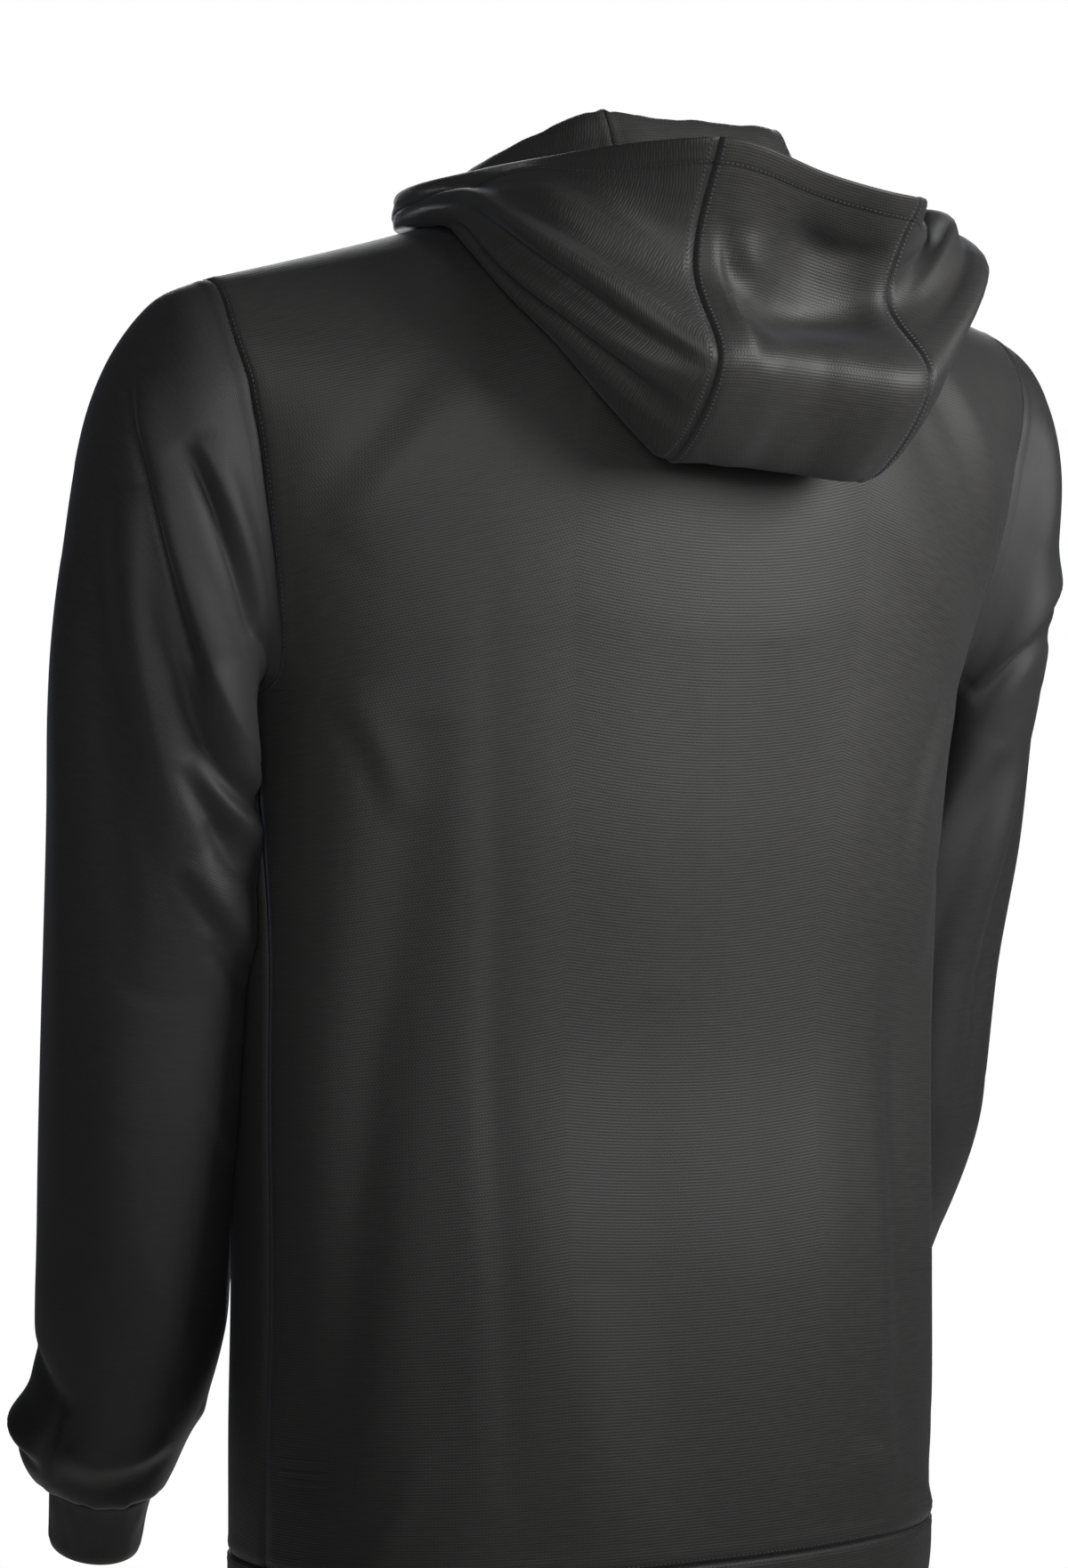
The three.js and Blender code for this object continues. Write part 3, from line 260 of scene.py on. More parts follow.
SLEEVE_CREASES = table(FOLD_COLUMNS, [
    [9.4, 7.75, 7.6, 7.95, 5.4, 7.8, 2.6, -0.8, 0],
    [9.8, 8.7, 8.0, 8.9, 6.4, 8.8, 2.6, -0.5, 0],
    [5.2, 8.7, 4.4, 8.9, 3.6, 9.0, 4, 1.4, 0.3],
    [14.6, 10.7, 12.2, 10.85, 9.9, 11.2, 7, -4.5, 0],
    [14.4, 11.7, 12.4, 11.9, 10.4, 12.0, 8, 6.5, 0.4],
    [10.6, 10.9, 10.2, 11.6, 9.8, 12.6, 4, -2.4, 0],
    [9.6, 12.3, 7.4, 12.5, 5.2, 12.2, 6, -2.6, 0],
    [9.4, 11.7, 7.2, 11.9, 4.8, 11.5, 8, 2.8, 0.2],
    [8.8, 12.9, 7.4, 13.2, 5.8, 13.1, 4, 1.6, 0],
    [19.6, 11.4, 17.4, 11.9, 15.2, 11.6, 8, 3, 0.2],
    [20.4, 12.4, 18, 12.7, 15.6, 12.5, 5, -2.2, 0],
    [3.0, 11.2, 1.4, 11.6, 0.4, 12.2, 7, 2, 0],
])
# The right arm's own creases: the upper arm's cloth laps over the forearm's.
RIGHT_SLEEVE_FOLDS = table(FOLD_COLUMNS, [
    [9.6, 4.1, 5.6, 3.1, 2.2, 2.2, 9, 5.5, 0.5],
    [9.4, 4.7, 5.6, 3.7, 2.2, 2.7, 6, -5.5, 0],
    [8.6, 0.9, 7.6, 1.8, 6.4, 2.4, 12, 2.6, 0],
    [7.6, 5.0, 6.8, 6.8, 6.0, 9.0, 13, 3.6, 0.2],
    [9.0, 5.2, 8.2, 7.0, 7.4, 9.4, 11, -3.4, 0],
    [10.6, 5.2, 9.8, 7.4, 9.2, 9.8, 13, 3.2, 0.2],
    [5.6, 5.4, 4.8, 7.4, 4.2, 9.4, 9, -3.0, 0],
    [4.2, 4.6, 3.4, 6.4, 3.0, 8.4, 9, 3.2, 0],
    [14.6, 3, 15.8, 5, 16.6, 7, 13, -4, 0],
    [17.6, 4.6, 16.6, 7, 15.4, 9.6, 15, 4, 0.2],
    [20.4, 5.0, 19, 7.6, 17.8, 10.2, 12, -3.5, 0],
    [21.8, 3.6, 20.2, 4.6, 18.2, 5.6, 9, 4, 0.3],
    [22.2, 5.6, 20.4, 6.4, 18.4, 7.0, 9, 4, 0.3],
])

# The hood's folds, in degrees round the neck, left side first, and knots from the neck seam.
HOOD_FOLDS = table(FOLD_COLUMNS, [
    [104, 5.35, 68, 4.85, 43, 4.95, 5.5, -8, 0.2],
    [104, 5.75, 70, 5.35, 46, 5.35, 6.5, 4, -0.3],
    [100, 4.9, 64, 4.6, 45, 4.72, 6, 4.8, 0.2],
    [92, 4.45, 61, 4.4, 43, 4.55, 5.5, -6, 0.2],
    [110, 4.4, 74, 4.1, 48, 4.2, 7, 2.4, 0],
    [70, 5.95, 58, 5.5, 48, 5.6, 6.5, -3.6, 0.2],
    [66, 6.3, 56, 5.95, 46, 5.95, 7, 2.2, 0],
    [94, 6.3, 72, 6.2, 54, 6.3, 6, -3, 0],
    [32, 6.4, 26, 5.8, 22, 4.95, 5.5, -3.2, 0.4],
    [36, 6.2, 31, 5.7, 29, 5.1, 6, 2.2, 0],
    [4, 6.5, -15, 6.35, -36, 6.5, 8, -4, 0],
    [24, 6.15, 0, 5.95, -30, 6.1, 9, 3.0, 0.4],
    [29, 5.5, 0, 5.7, -33, 5.85, 19, -12, 0],
    [22, 6.3, 16, 6.0, 4, 5.8, 7, 2.4, 0.2],
    [-43, 6.45, -58, 6.6, -78, 6.75, 5, 5, 0.2],
    [-44, 6.15, -60, 6.25, -80, 6.35, 4.5, -4.5, 0],
    [-45, 5.85, -62, 5.9, -82, 5.95, 5, 4.6, 0.2],
    [-46, 5.55, -62, 5.5, -80, 5.45, 4.5, -4, 0],
    [-47, 5.2, -60, 5.1, -76, 4.95, 5.5, 3.8, 0.2],
    [-46, 4.8, -58, 4.6, -72, 4.3, 6, -2.6, 0],
    [-96, 5.4, -76, 4.9, -58, 4.9, 8, 3, 0],
    [60, 1.6, 84, 2.2, 110, 2.6, 8, 2.6, 0],
    [-60, 1.6, -84, 2.2, -110, 2.6, 8, 2.6, 0],
    [30, 0.9, 44, 1.2, 58, 1.1, 7, -2.4, 0],
    [150, 2.2, 140, 4.0, 128, 5.6, 6, 1.8, 0],
    [-150, 2.2, -140, 4.0, -128, 5.6, 6, 1.8, 0],
])


def smoothstep(value):
    """3s^2 - 2s^3 of the value held between 0 and 1."""
    share = np.clip(value, 0, 1)
    return share * share * (3 - 2 * share)


def curve(rows, key, column, soften=0):
    """A smooth curve through one column: between two rows a cubic whose end slopes are the harmonic
    mean of the neighbouring rises, or level at a turn. Soften averages it over that many units."""
    at, value = rows[key], rows[column]
    rise = np.diff(value) / np.diff(at)
    before = np.concatenate([rise[:1], rise])
    after = np.concatenate([rise, rise[-1:]])
    product = before * after
    slope = np.where(product > 0, 2 * product / np.where(product > 0, before + after, 1), 0)

    def plain(place):
        inside = np.clip(place, at[0], at[-1])
        cell = np.clip(np.searchsorted(at, inside) - 1, 0, len(at) - 2)
        span = at[cell + 1] - at[cell]
        t = (inside - at[cell]) / span
        leave = t * (1 - t) ** 2 * span * slope[cell]
        arrive = t * t * (t - 1) * span * slope[cell + 1]
        return value[cell] + (value[cell + 1] - value[cell]) * t * t * (3 - 2 * t) + leave + arrive

    def softened(place):
        offsets = np.linspace(-1, 1, 9)
        weights = np.cos(offsets * np.pi / 2.4) ** 2
        total = sum(plain(place + offset * soften) * weight for offset, weight in zip(offsets, weights))
        return total / weights.sum()

    return softened if soften else plain


body = {name: curve(BODY, "z", name, 16) for name in BODY if name != "z"}
armhole_share = curve(ARMHOLE, "z", "share")
sleeve = {name: curve(SLEEVE, "station", name) for name in SLEEVE if name != "station"}
cuff = {name: curve(CUFF, "station", name) for name in CUFF if name != "station"}
hood = {name: curve(HOOD, "angle", name) for name in HOOD if name != "angle"}


PATH_STEPS = np.linspace(0, 1, 25)


def on_cloth(points, across, down, a, b):
    """The places on a grid at the parameters a across and b down, by linear blending in its cells."""
    column = np.clip(np.interp(a, across, np.arange(len(across))), 0, len(across) - 1.001)
    row = np.clip(np.interp(b, down, np.arange(len(down))), 0, len(down) - 1.001)
    i, j = row.astype(int), column.astype(int)
    u, v = (column - j)[:, None], (row - i)[:, None]
    low = points[i, j] * (1 - u) + points[i, j + 1] * u
    high = points[i + 1, j] * (1 - u) + points[i + 1, j + 1] * u
    return low * (1 - v) + high * v


def fold_relief(points, out, across, down, folds, reach=1e9):
    """How far each point of a grid stands out for its folds. A fold's line is the quadratic curve
    through its three places. Over t, the distance from it by its width, it is exp(-|t|^1.8), less a
    third of exp(-((t - 1.9) / 0.8)^2) on its steep side, times the 0.6th power of a half sine
    along it. Points further down the grid than reach from the line are left alone."""
    total = np.zeros(points.shape[:2])
    t = PATH_STEPS
    for from_a, from_b, mid_a, mid_b, to_a, to_b, width, height, lean in zip(*folds.values()):
        ends = (1 - t) * (1 - 2 * t), 4 * t * (1 - t), t * (2 * t - 1)
        a = ends[0] * from_a + ends[1] * mid_a + ends[2] * to_a
        b = ends[0] * from_b + ends[1] * mid_b + ends[2] * to_b
        path = on_cloth(points, across, down, a, b)
        low, high = path.min(axis=0) - 4 * width, path.max(axis=0) + 4 * width
        near = ((points > low) & (points < high)).all(axis=-1)
        place, facing = points[near], out[near]
        step = np.diff(path, axis=0)
        offset = place[:, None] - path[None, :-1]
        share = np.clip((offset * step).sum(axis=-1) / (step**2).sum(axis=-1), 0, 1)
        offset = offset - share[..., None] * step
        distance = np.linalg.norm(offset, axis=-1)
        nearest = distance.argmin(axis=1)
        pick = np.arange(len(place)), nearest
        side = np.sign((np.cross(step[nearest], facing) * offset[pick]).sum(axis=-1))
        side = side * (1 if lean >= 0 else -1)
        ratio = distance[pick] / width
        signed = side * ratio / np.where(side > 0, 1 - abs(lean), 1 + abs(lean))
        profile = np.exp(-np.abs(signed) ** 1.8)
        if lean:
            profile = profile - 0.35 * np.exp(-(((signed - 1.9) / 0.8) ** 2))
        along = (nearest + share[pick]) / len(step)
        row = np.broadcast_to(down[:, None], near.shape)[near]
        kept = np.abs(row - np.interp(along, t, b)) < reach
        total[near] += height * np.sin(np.pi * np.clip(along, 0, 1)) ** 0.6 * profile * kept
    return total


def unevenness(u, v, seed):
    """A smooth random height between -1 and 1 over a plane: random values at whole numbers, blended
    by smoothstep between them."""
    lattice = np.random.default_rng(seed).uniform(-1, 1, (64, 64))
    u, v = np.broadcast_arrays(u, v)
    cell_u, cell_v = np.floor(u).astype(int), np.floor(v).astype(int)
    share_u, share_v = smoothstep(u - cell_u), smoothstep(v - cell_v)
    left, right = cell_u % 64, (cell_u + 1) % 64
    near, far = cell_v % 64, (cell_v + 1) % 64
    low = lattice[left, near] * (1 - share_u) + lattice[right, near] * share_u
    high = lattice[left, far] * (1 - share_u) + lattice[right, far] * share_u
    return low * (1 - share_v) + high * share_v


def unit(vectors):
    """Each vector over its own length."""
    return vectors / np.maximum(np.linalg.norm(vectors, axis=-1, keepdims=True), 1e-12)


def normals(points, turn, wrap=False):
    """The cross product of the steps down and along a grid, as unit vectors, turned round by turn."""
    down = np.gradient(points, axis=0)
    if wrap:
        along = np.roll(points, -1, axis=1) - np.roll(points, 1, axis=1)
    else:
        along = np.gradient(points, axis=1)
    return unit(np.cross(down, along)) * turn


def steps(points, axis):
    """The running length along a grid's rows (axis 1) or columns (axis 0), from its first point."""
    lengths = np.linalg.norm(np.diff(points, axis=axis), axis=-1)
    pad = [(0, 0), (0, 0)]
    pad[axis] = (1, 0)
    return np.cumsum(np.pad(lengths, pad), axis=axis)


def edge_distances(points):
    """How far each point of a grid is from its left, right, first-row and last-row edges."""
    along, down = steps(points, 1), steps(points, 0)
    return along, along[:, -1:] - along, down, down[-1:, :] - down


def seam_dip(distance, depth=0.7, width=1.5, swell=0.3, allowance=5.5):
    """The hollow along a sewn edge: minus depth times exp(-(distance / width)^2). Over the seam
    allowance inside, the cloth stands up by the swell, which ends in a smooth step."""
    raised = swell * (1 - smoothstep((distance - allowance + 1) / 2))
    return raised - (depth + swell) * np.exp(-((distance / width) ** 2))


def turned_edge(distance, depth, rise=0.7):
    """A turned hem: the cloth stands up by rise within depth of the edge, and dips at its stitch line."""
    raised = rise * (1 - smoothstep((distance - depth + 0.8) / 1.6))
    return raised - 0.5 * np.exp(-(((distance - depth) / 1.1) ** 2))


def top_edge(side, x):
    """The body's top edge: a half ellipse at the neck, then a power curve down the shoulder."""
    depth, drop, power = NECK_BACK if side > 0 else NECK_FRONT
    across = np.abs(x)
    share = np.clip((across - NECK_HALF_WIDTH) / (SHOULDER_X - NECK_HALF_WIDTH), 0, None)
    cosine = np.sqrt(np.clip(1 - (across / NECK_HALF_WIDTH) ** 2, 0, 1))
    on_neck = across < NECK_HALF_WIDTH
    y = np.where(on_neck, depth * cosine, 0)
    z = np.where(on_neck, -drop * cosine**power, SHOULDER_Z * share**SHOULDER_BEND)
    return y, z


def column_turn(side, share, row):
    """How far a column turns from the centre line: its share of the way to the side seam, which
    drifts to the back further down, and above the underarm of the way to the armhole."""
    drift = smoothstep((UNDERARM_Z - row) / SIDE_SEAM_REACH) * SIDE_SEAM_DEGREES
    below = share * np.radians(90 - side * drift)
    reach = np.arcsin(np.minimum(1, armhole_share(row)))
    cut_in = share * np.pi / 2 - (np.pi / 2 - reach) * share * np.abs(share) ** ARMHOLE_CUT_POWER
    spread = smoothstep((row - UNDERARM_Z) / ARMHOLE_CUT_REACH)
    return np.where(row <= UNDERARM_Z, below, cut_in + (share * reach - cut_in) * spread)


def column_share(x):
    """A column's share of the way round to the side seam, as a ratio of arcsines."""
    return np.arcsin(x / SHOULDER_REACH) / np.arcsin(SHOULDER_X / SHOULDER_REACH)


def body_points(side, x, row):
    """The body's outer face: a ring |x/a|^2.4 + |y/b|^2.4 = 1 at each height, whose depth rounds
    over to the top edge by a quarter circle."""
    half_width = body["halfWidth"](row)
    turn = column_turn(side, column_share(x), row)
    across = half_width * np.sin(turn)
    top_y, top_z = top_edge(side, x)
    rise = (row - BAND_TOP_Z) / (SHOULDER_Z - BAND_TOP_Z)
    z = np.where(row > BAND_TOP_Z, BAND_TOP_Z + (top_z - BAND_TOP_Z) * rise, row)
    depth = np.where(side * np.cos(turn) > 0, body["backDepth"](row), -body["frontDepth"](row))
    ring = np.clip(1 - (np.abs(across) / half_width) ** SQUARENESS, 0, 1)
    full = body["centreY"](row) + depth * ring ** (1 / SQUARENESS)
    drop = np.clip((top_z - z) / (BACK_ROUNDING if side > 0 else FRONT_ROUNDING), 0, 1)
    power = 1 + NECK_SLOPE_SHARPNESS * (1 - smoothstep(np.abs(x) / NECK_SLOPE_REACH))
    sine = np.sqrt(np.clip(1 - (1 - drop) ** (2 / power), 0, 1))
    return np.stack(np.broadcast_arrays(across, top_y + (full - top_y) * sine**power, z), axis=-1)


def armhole_row(k):
    """The height of a step up the armhole: a cosine from the underarm to the shoulder."""
    middle, half = (UNDERARM_Z + SHOULDER_Z) / 2, (SHOULDER_Z - UNDERARM_Z) / 2
    return middle - half * np.cos(np.pi * k / ARMHOLE_CELLS)


def neck_x(angle):
    """How far to the side the neck seam lies at an angle round it."""
    return NECK_HALF_WIDTH * np.sin(np.radians(angle))


# The columns and rows that neighbouring pieces share, so that their seams meet.
HALF_NECK_ANGLES = np.append(np.linspace(0, 80, 33), 90)
ZIP_ANGLES = np.append(90, np.linspace(100, ZIP_ANGLE, 33))
SHOULDER_COLUMNS = np.linspace(NECK_HALF_WIDTH, SHOULDER_X, 41)[1:]
HALF_BACK = np.concatenate([neck_x(HALF_NECK_ANGLES), SHOULDER_COLUMNS])
BACK_COLUMNS = np.concatenate([-HALF_BACK[:0:-1], HALF_BACK])
FRONT_COLUMNS = np.concatenate([neck_x(ZIP_ANGLES)[::-1], SHOULDER_COLUMNS])
LOWER_ROWS = np.linspace(BAND_TOP_Z, UNDERARM_Z, 111)
ARMHOLE_ROWS = armhole_row(np.arange(ARMHOLE_CELLS * FINE + 1) / FINE)
BODY_ROWS = np.concatenate([LOWER_ROWS, ARMHOLE_ROWS[1:]])
BAND_ROWS = np.linspace(HEM_Z, BAND_TOP_Z, 17)
UNDERARM_ROW = len(LOWER_ROWS) - 1


def column_at(side, x, z):
    """The column whose point lies at a distance x across the body at a height."""
    half_width = body["halfWidth"](np.array(z))
    across = half_width * np.sin(column_turn(side, column_share(BACK_COLUMNS), np.array(z)))
    return np.interp(x, across, BACK_COLUMNS)


def in_columns(side, folds):
    """A body's folds with their places across given as columns."""
    changed = dict(folds)
    for a, b in (("fromA", "fromB"), ("midA", "midB"), ("toA", "toB")):
        changed[a] = np.array([column_at(side, x, z) for x, z in zip(folds[a], folds[b])])
    return changed


def draped_body(side, columns, rows):
    """The body's outer face with its folds and slight unevenness. Folds fade at every seam."""
    x, row = columns[None, :], rows[:, None]
    points = body_points(side, x, row)
    out = normals(points, 1 if side > 0 else -1)
    # Beside the neck's corner the rows are steep, so directions there are blended from both sides.
    sound = np.flatnonzero(np.abs(np.abs(columns) - NECK_HALF_WIDTH) > 10)
    rank = np.interp(columns, columns[sound], np.arange(len(sound)))
    low = np.floor(rank).astype(int)
    share = (rank - low)[None, :, None]
    out = unit(out[:, sound[low]] * (1 - share) + out[:, sound[np.minimum(low + 1, len(sound) - 1)]] * share)
    _, top_z = top_edge(side, x)
    beside = 1 - np.abs(column_share(x))
    from_side = smoothstep(beside / 0.14)
    from_top = smoothstep((top_z - points[..., 2]) / 50)
    from_band = smoothstep((points[..., 2] - BAND_TOP_Z) / 40)
    from_zip = 1 if side > 0 else smoothstep((np.abs(x) - 42) / 30)
    folds, creases = (BACK_FOLDS, BACK_CREASES) if side > 0 else (FRONT_FOLDS, FRONT_CREASES)
    relief = fold_relief(points, out, columns, rows, in_columns(side, folds))
    height = relief * from_side * from_top * from_band * from_zip
    relief = fold_relief(points, out, columns, rows, in_columns(side, creases))
    near = smoothstep(beside / 0.05) * smoothstep((points[..., 2] - BAND_TOP_Z) / 10)
    height = height + relief * near * from_top * from_zip
    waver = unevenness(points[..., 0] / 46 + 9, points[..., 2] / 110 + 31, 4)
    height = height + 0.8 * waver * from_side * from_top * from_zip
    return points + out * height[..., None], out


# The mesh makers


def add_object(name, points, faces, smooth=True):
    """An object from points in millimetres and their faces, as a mesh in metres."""
    mesh = bpy.data.meshes.new(name)
    mesh.from_pydata((points.reshape(-1, 3) * MM).tolist(), [], faces)
    mesh.polygons.foreach_set("use_smooth", np.full(len(faces), smooth))
    made = bpy.data.objects.new(name, mesh)
    bpy.context.collection.objects.link(made)
    return made


def make_mesh(name, points, outward, fabric_map, wrap=False):
    """A grid of points in millimetres as a mesh in metres, its faces turned towards outward, with the
    place on the cloth in metres as its map. A wrapped grid is a tube whose last column meets its first."""
    count_down, count_along = points.shape[:2]
    index = np.arange(count_down * count_along).reshape(count_down, count_along)
    corner = np.arange(fabric_map.shape[0] * fabric_map.shape[1]).reshape(fabric_map.shape[:2])
    if wrap:
        index = np.concatenate([index, index[:, :1]], axis=1)

    def quads_of(numbers):
        square = [numbers[:-1, :-1], numbers[:-1, 1:], numbers[1:, 1:], numbers[1:, :-1]]
        return np.stack(square, axis=-1).reshape(-1, 4)

    quads, corners = quads_of(index), quads_of(corner)
    flat = points.reshape(-1, 3)
    facing = np.cross(flat[quads[:, 2]] - flat[quads[:, 0]], flat[quads[:, 3]] - flat[quads[:, 1]])
    if (facing * outward.reshape(-1, 3)[quads[:, 0]]).sum() < 0:
        quads, corners = quads[:, ::-1], corners[:, ::-1]
    made = add_object(name, points, quads.tolist())
    layer = made.data.uv_layers.new(name="cloth")
    layer.data.foreach_set("uv", (fabric_map.reshape(-1, 2)[corners.ravel()] * MM).astype(np.float32).ravel())
    return made


def closed_grid(points, wrap):
    """A grid with its first column again at the end if it is a tube."""
    return np.concatenate([points, points[:, :1]], axis=1) if wrap else points


def place_on_cloth(points, wrap=False):
    """The running lengths along and down a grid's middle column, as a flat map."""
    closed = closed_grid(points, wrap)
    along = steps(closed, 1)
    along = along - along[:, along.shape[1] // 2][:, None]
    down = steps(closed, 0)[:, closed.shape[1] // 2]
    return np.stack([along, np.broadcast_to(down[:, None], along.shape)], axis=-1)


def cloth_piece(
    name, points, outward, material, slot, rests_on=(), wrap=False, turned=False, thick=None, width=None
):
    """A shell of cloth: its outer face is the grid, and its thickness lies inside. It replaces the
    solid of its name. The size it was cut to, its longest row or the width given in millimetres
    times its longest column, is worked out but not used."""
    fabric_map = place_on_cloth(points, wrap)
    if turned:
        fabric_map = fabric_map[..., ::-1]
    made = make_mesh(name + "_cloth", points, outward, fabric_map, wrap)
    made.data.materials.append(material)
    shell = made.modifiers.new("thickness", "SOLIDIFY")
    shell.thickness = thick or settings().cloth_thickness
    shell.offset = -1
    shell.use_even_offset = False
    closed = closed_grid(points, wrap)
    width, length = (width or steps(closed, 1)[:, -1].max()) * MM, steps(closed, 0)[-1].max() * MM
    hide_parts(name)
    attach(made, "garment")
    return made


# A stitch in its own frame: a thread's loop as rings along it, with half length, half width and rise.
STITCH_RINGS = np.array([[-1, 0.25, 0.1], [-0.6, 0.8, 0.8], [0, 1, 1], [0.6, 0.8, 0.8], [1, 0.25, 0.1]])
STITCH_SIDES = 5


def running_length(path):
    """The running length of a path at each of its points."""
    return np.concatenate([[0], np.cumsum(np.linalg.norm(np.diff(path, axis=0), axis=1))])


def on_path(at, run, path):
    """The places on a path at some running lengths."""
    return np.stack([np.interp(at, run, path[:, k]) for k in range(3)], axis=1)


def stitch_points(path, normal, gap, length, width, rise):
    """Stitches along a path: at equal gaps of its running length, a lens of five rings, each half an
    oval of cosine times its width and sine times its rise above the cloth."""
    run = running_length(path)
    count = int(run[-1] // gap)
    at = (np.arange(count) + 0.5) * run[-1] / count
    centre = on_path(at, run, path)
    up = unit(on_path(at, run, normal))
    along = unit(on_path(at + 0.5, run, path) - on_path(at - 0.5, run, path))
    beside = np.cross(up, along)
    turn = np.linspace(0, np.pi, STITCH_SIDES)
    reach, swell, lift = STITCH_RINGS.T
    local_along = (reach * length / 2)[:, None] * np.ones(STITCH_SIDES)
    local_side = swell[:, None] * width / 2 * np.cos(turn)
    local_up = lift[:, None] * rise * np.sin(turn) - 0.05
    pairs = zip((local_along, local_side, local_up), (along, beside, up))
    shape = sum(local[None, :, :, None] * axis[:, None, None, :] for local, axis in pairs)
    return shape + centre[:, None, None, :]


def stitching(name, paths, gap=2.6, length=2.1, width=0.7, rise=0.32):
    """One mesh of all the stitches along several paths, each a path and its normals."""
    blocks = [stitch_points(path, normal, gap, length, width, rise) for path, normal in paths]
    points = np.concatenate(blocks)
    rings, sides = len(STITCH_RINGS), STITCH_SIDES
    cell = np.arange(rings * sides).reshape(rings, sides)
    square = [cell[:-1, :-1], cell[1:, :-1], cell[1:, 1:], cell[:-1, 1:]]
    quads = np.stack(square, axis=-1).reshape(-1, 4)
    under = np.stack([cell[:-1, 0], cell[:-1, -1], cell[1:, -1], cell[1:, 0]], axis=-1)
    ends = np.array([[*cell[0]], [*cell[-1][::-1]]])
    starts = np.arange(len(points))[:, None, None] * rings * sides
    faces = (np.concatenate([quads, under])[None] + starts).reshape(-1, 4).tolist()
    faces = faces + (ends[None] + starts).reshape(-1, sides).tolist()
    made = add_object(name, points, faces)
    made.data.materials.append(sewing_thread())
    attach(made, "garment")
    return made


def inset(points, normal, distance, edge):
    """The line on a grid that runs a distance in from one edge, found by its running lengths, with
    its normals."""
    if edge in ("first", "last"):
        points, normal = points.swapaxes(0, 1), normal.swapaxes(0, 1)
    if edge in ("right", "last"):
        points, normal = points[:, ::-1], normal[:, ::-1]
    run = steps(points, 1)
    after = np.clip((run < distance).sum(axis=1), 1, run.shape[1] - 1)
    line = np.arange(len(points))
    low, high = run[line, after - 1], run[line, after]
    share = ((distance - low) / (high - low))[:, None]
    path = points[line, after - 1] * (1 - share) + points[line, after] * share
    return path, unit(normal[line, after - 1] * (1 - share) + normal[line, after] * share)


# Materials


def linear(code):
    """An sRGB hex value as linear colour: (c / 12.92) up to 0.04045, else ((c + 0.055) / 1.055)^2.4."""
    parts = np.array([int(code[k:k + 2], 16) / 255 for k in (1, 3, 5)])
    low, high = parts / 12.92, ((parts + 0.055) / 1.055) ** 2.4
    return (*np.where(parts <= 0.04045, low, high).tolist(), 1.0)


MATH = "ShaderNodeMath"
NOISE = "ShaderNodeTexNoise"
# A value times a factor plus an offset.
FITTED = {"operation": "MULTIPLY_ADD"}


def add_node(tree, kind, links=(), values=(), **properties):
    """Adds a node of a kind, sets its properties and its input values, and links sockets to its inputs."""
    made = tree.nodes.new(kind)
    for name, value in properties.items():
        setattr(made, name, value)
    for key, value in dict(values).items():
        made.inputs[key].default_value = value
    for key, socket in dict(links).items():
        tree.links.new(socket, made.inputs[key])
    return made


def new_material(name):
    """A material with its tree, its shader and its output ready to be wired."""
    material = bpy.data.materials.new(name)
    material.use_nodes = True
    tree = material.node_tree
    tree.nodes.clear()
    shader = add_node(tree, "ShaderNodeBsdfPrincipled")
    add_node(tree, "ShaderNodeOutputMaterial", links={"Surface": shader.outputs["BSDF"]})
    return material, tree, shader


def wave(tree, socket, spacing, phase=None):
    """A sine of a length in metres, one full wave for each spacing, shifted by a phase in radians."""
    turned = add_node(tree, MATH, {0: socket}, {1: 2 * np.pi / spacing, 2: 0.0}, **FITTED).outputs[0]
    if phase is not None:
        turned = add_node(tree, MATH, {0: turned, 1: phase}, operation="ADD").outputs[0]
    return add_node(tree, MATH, {0: turned}, operation="SINE").outputs[0]


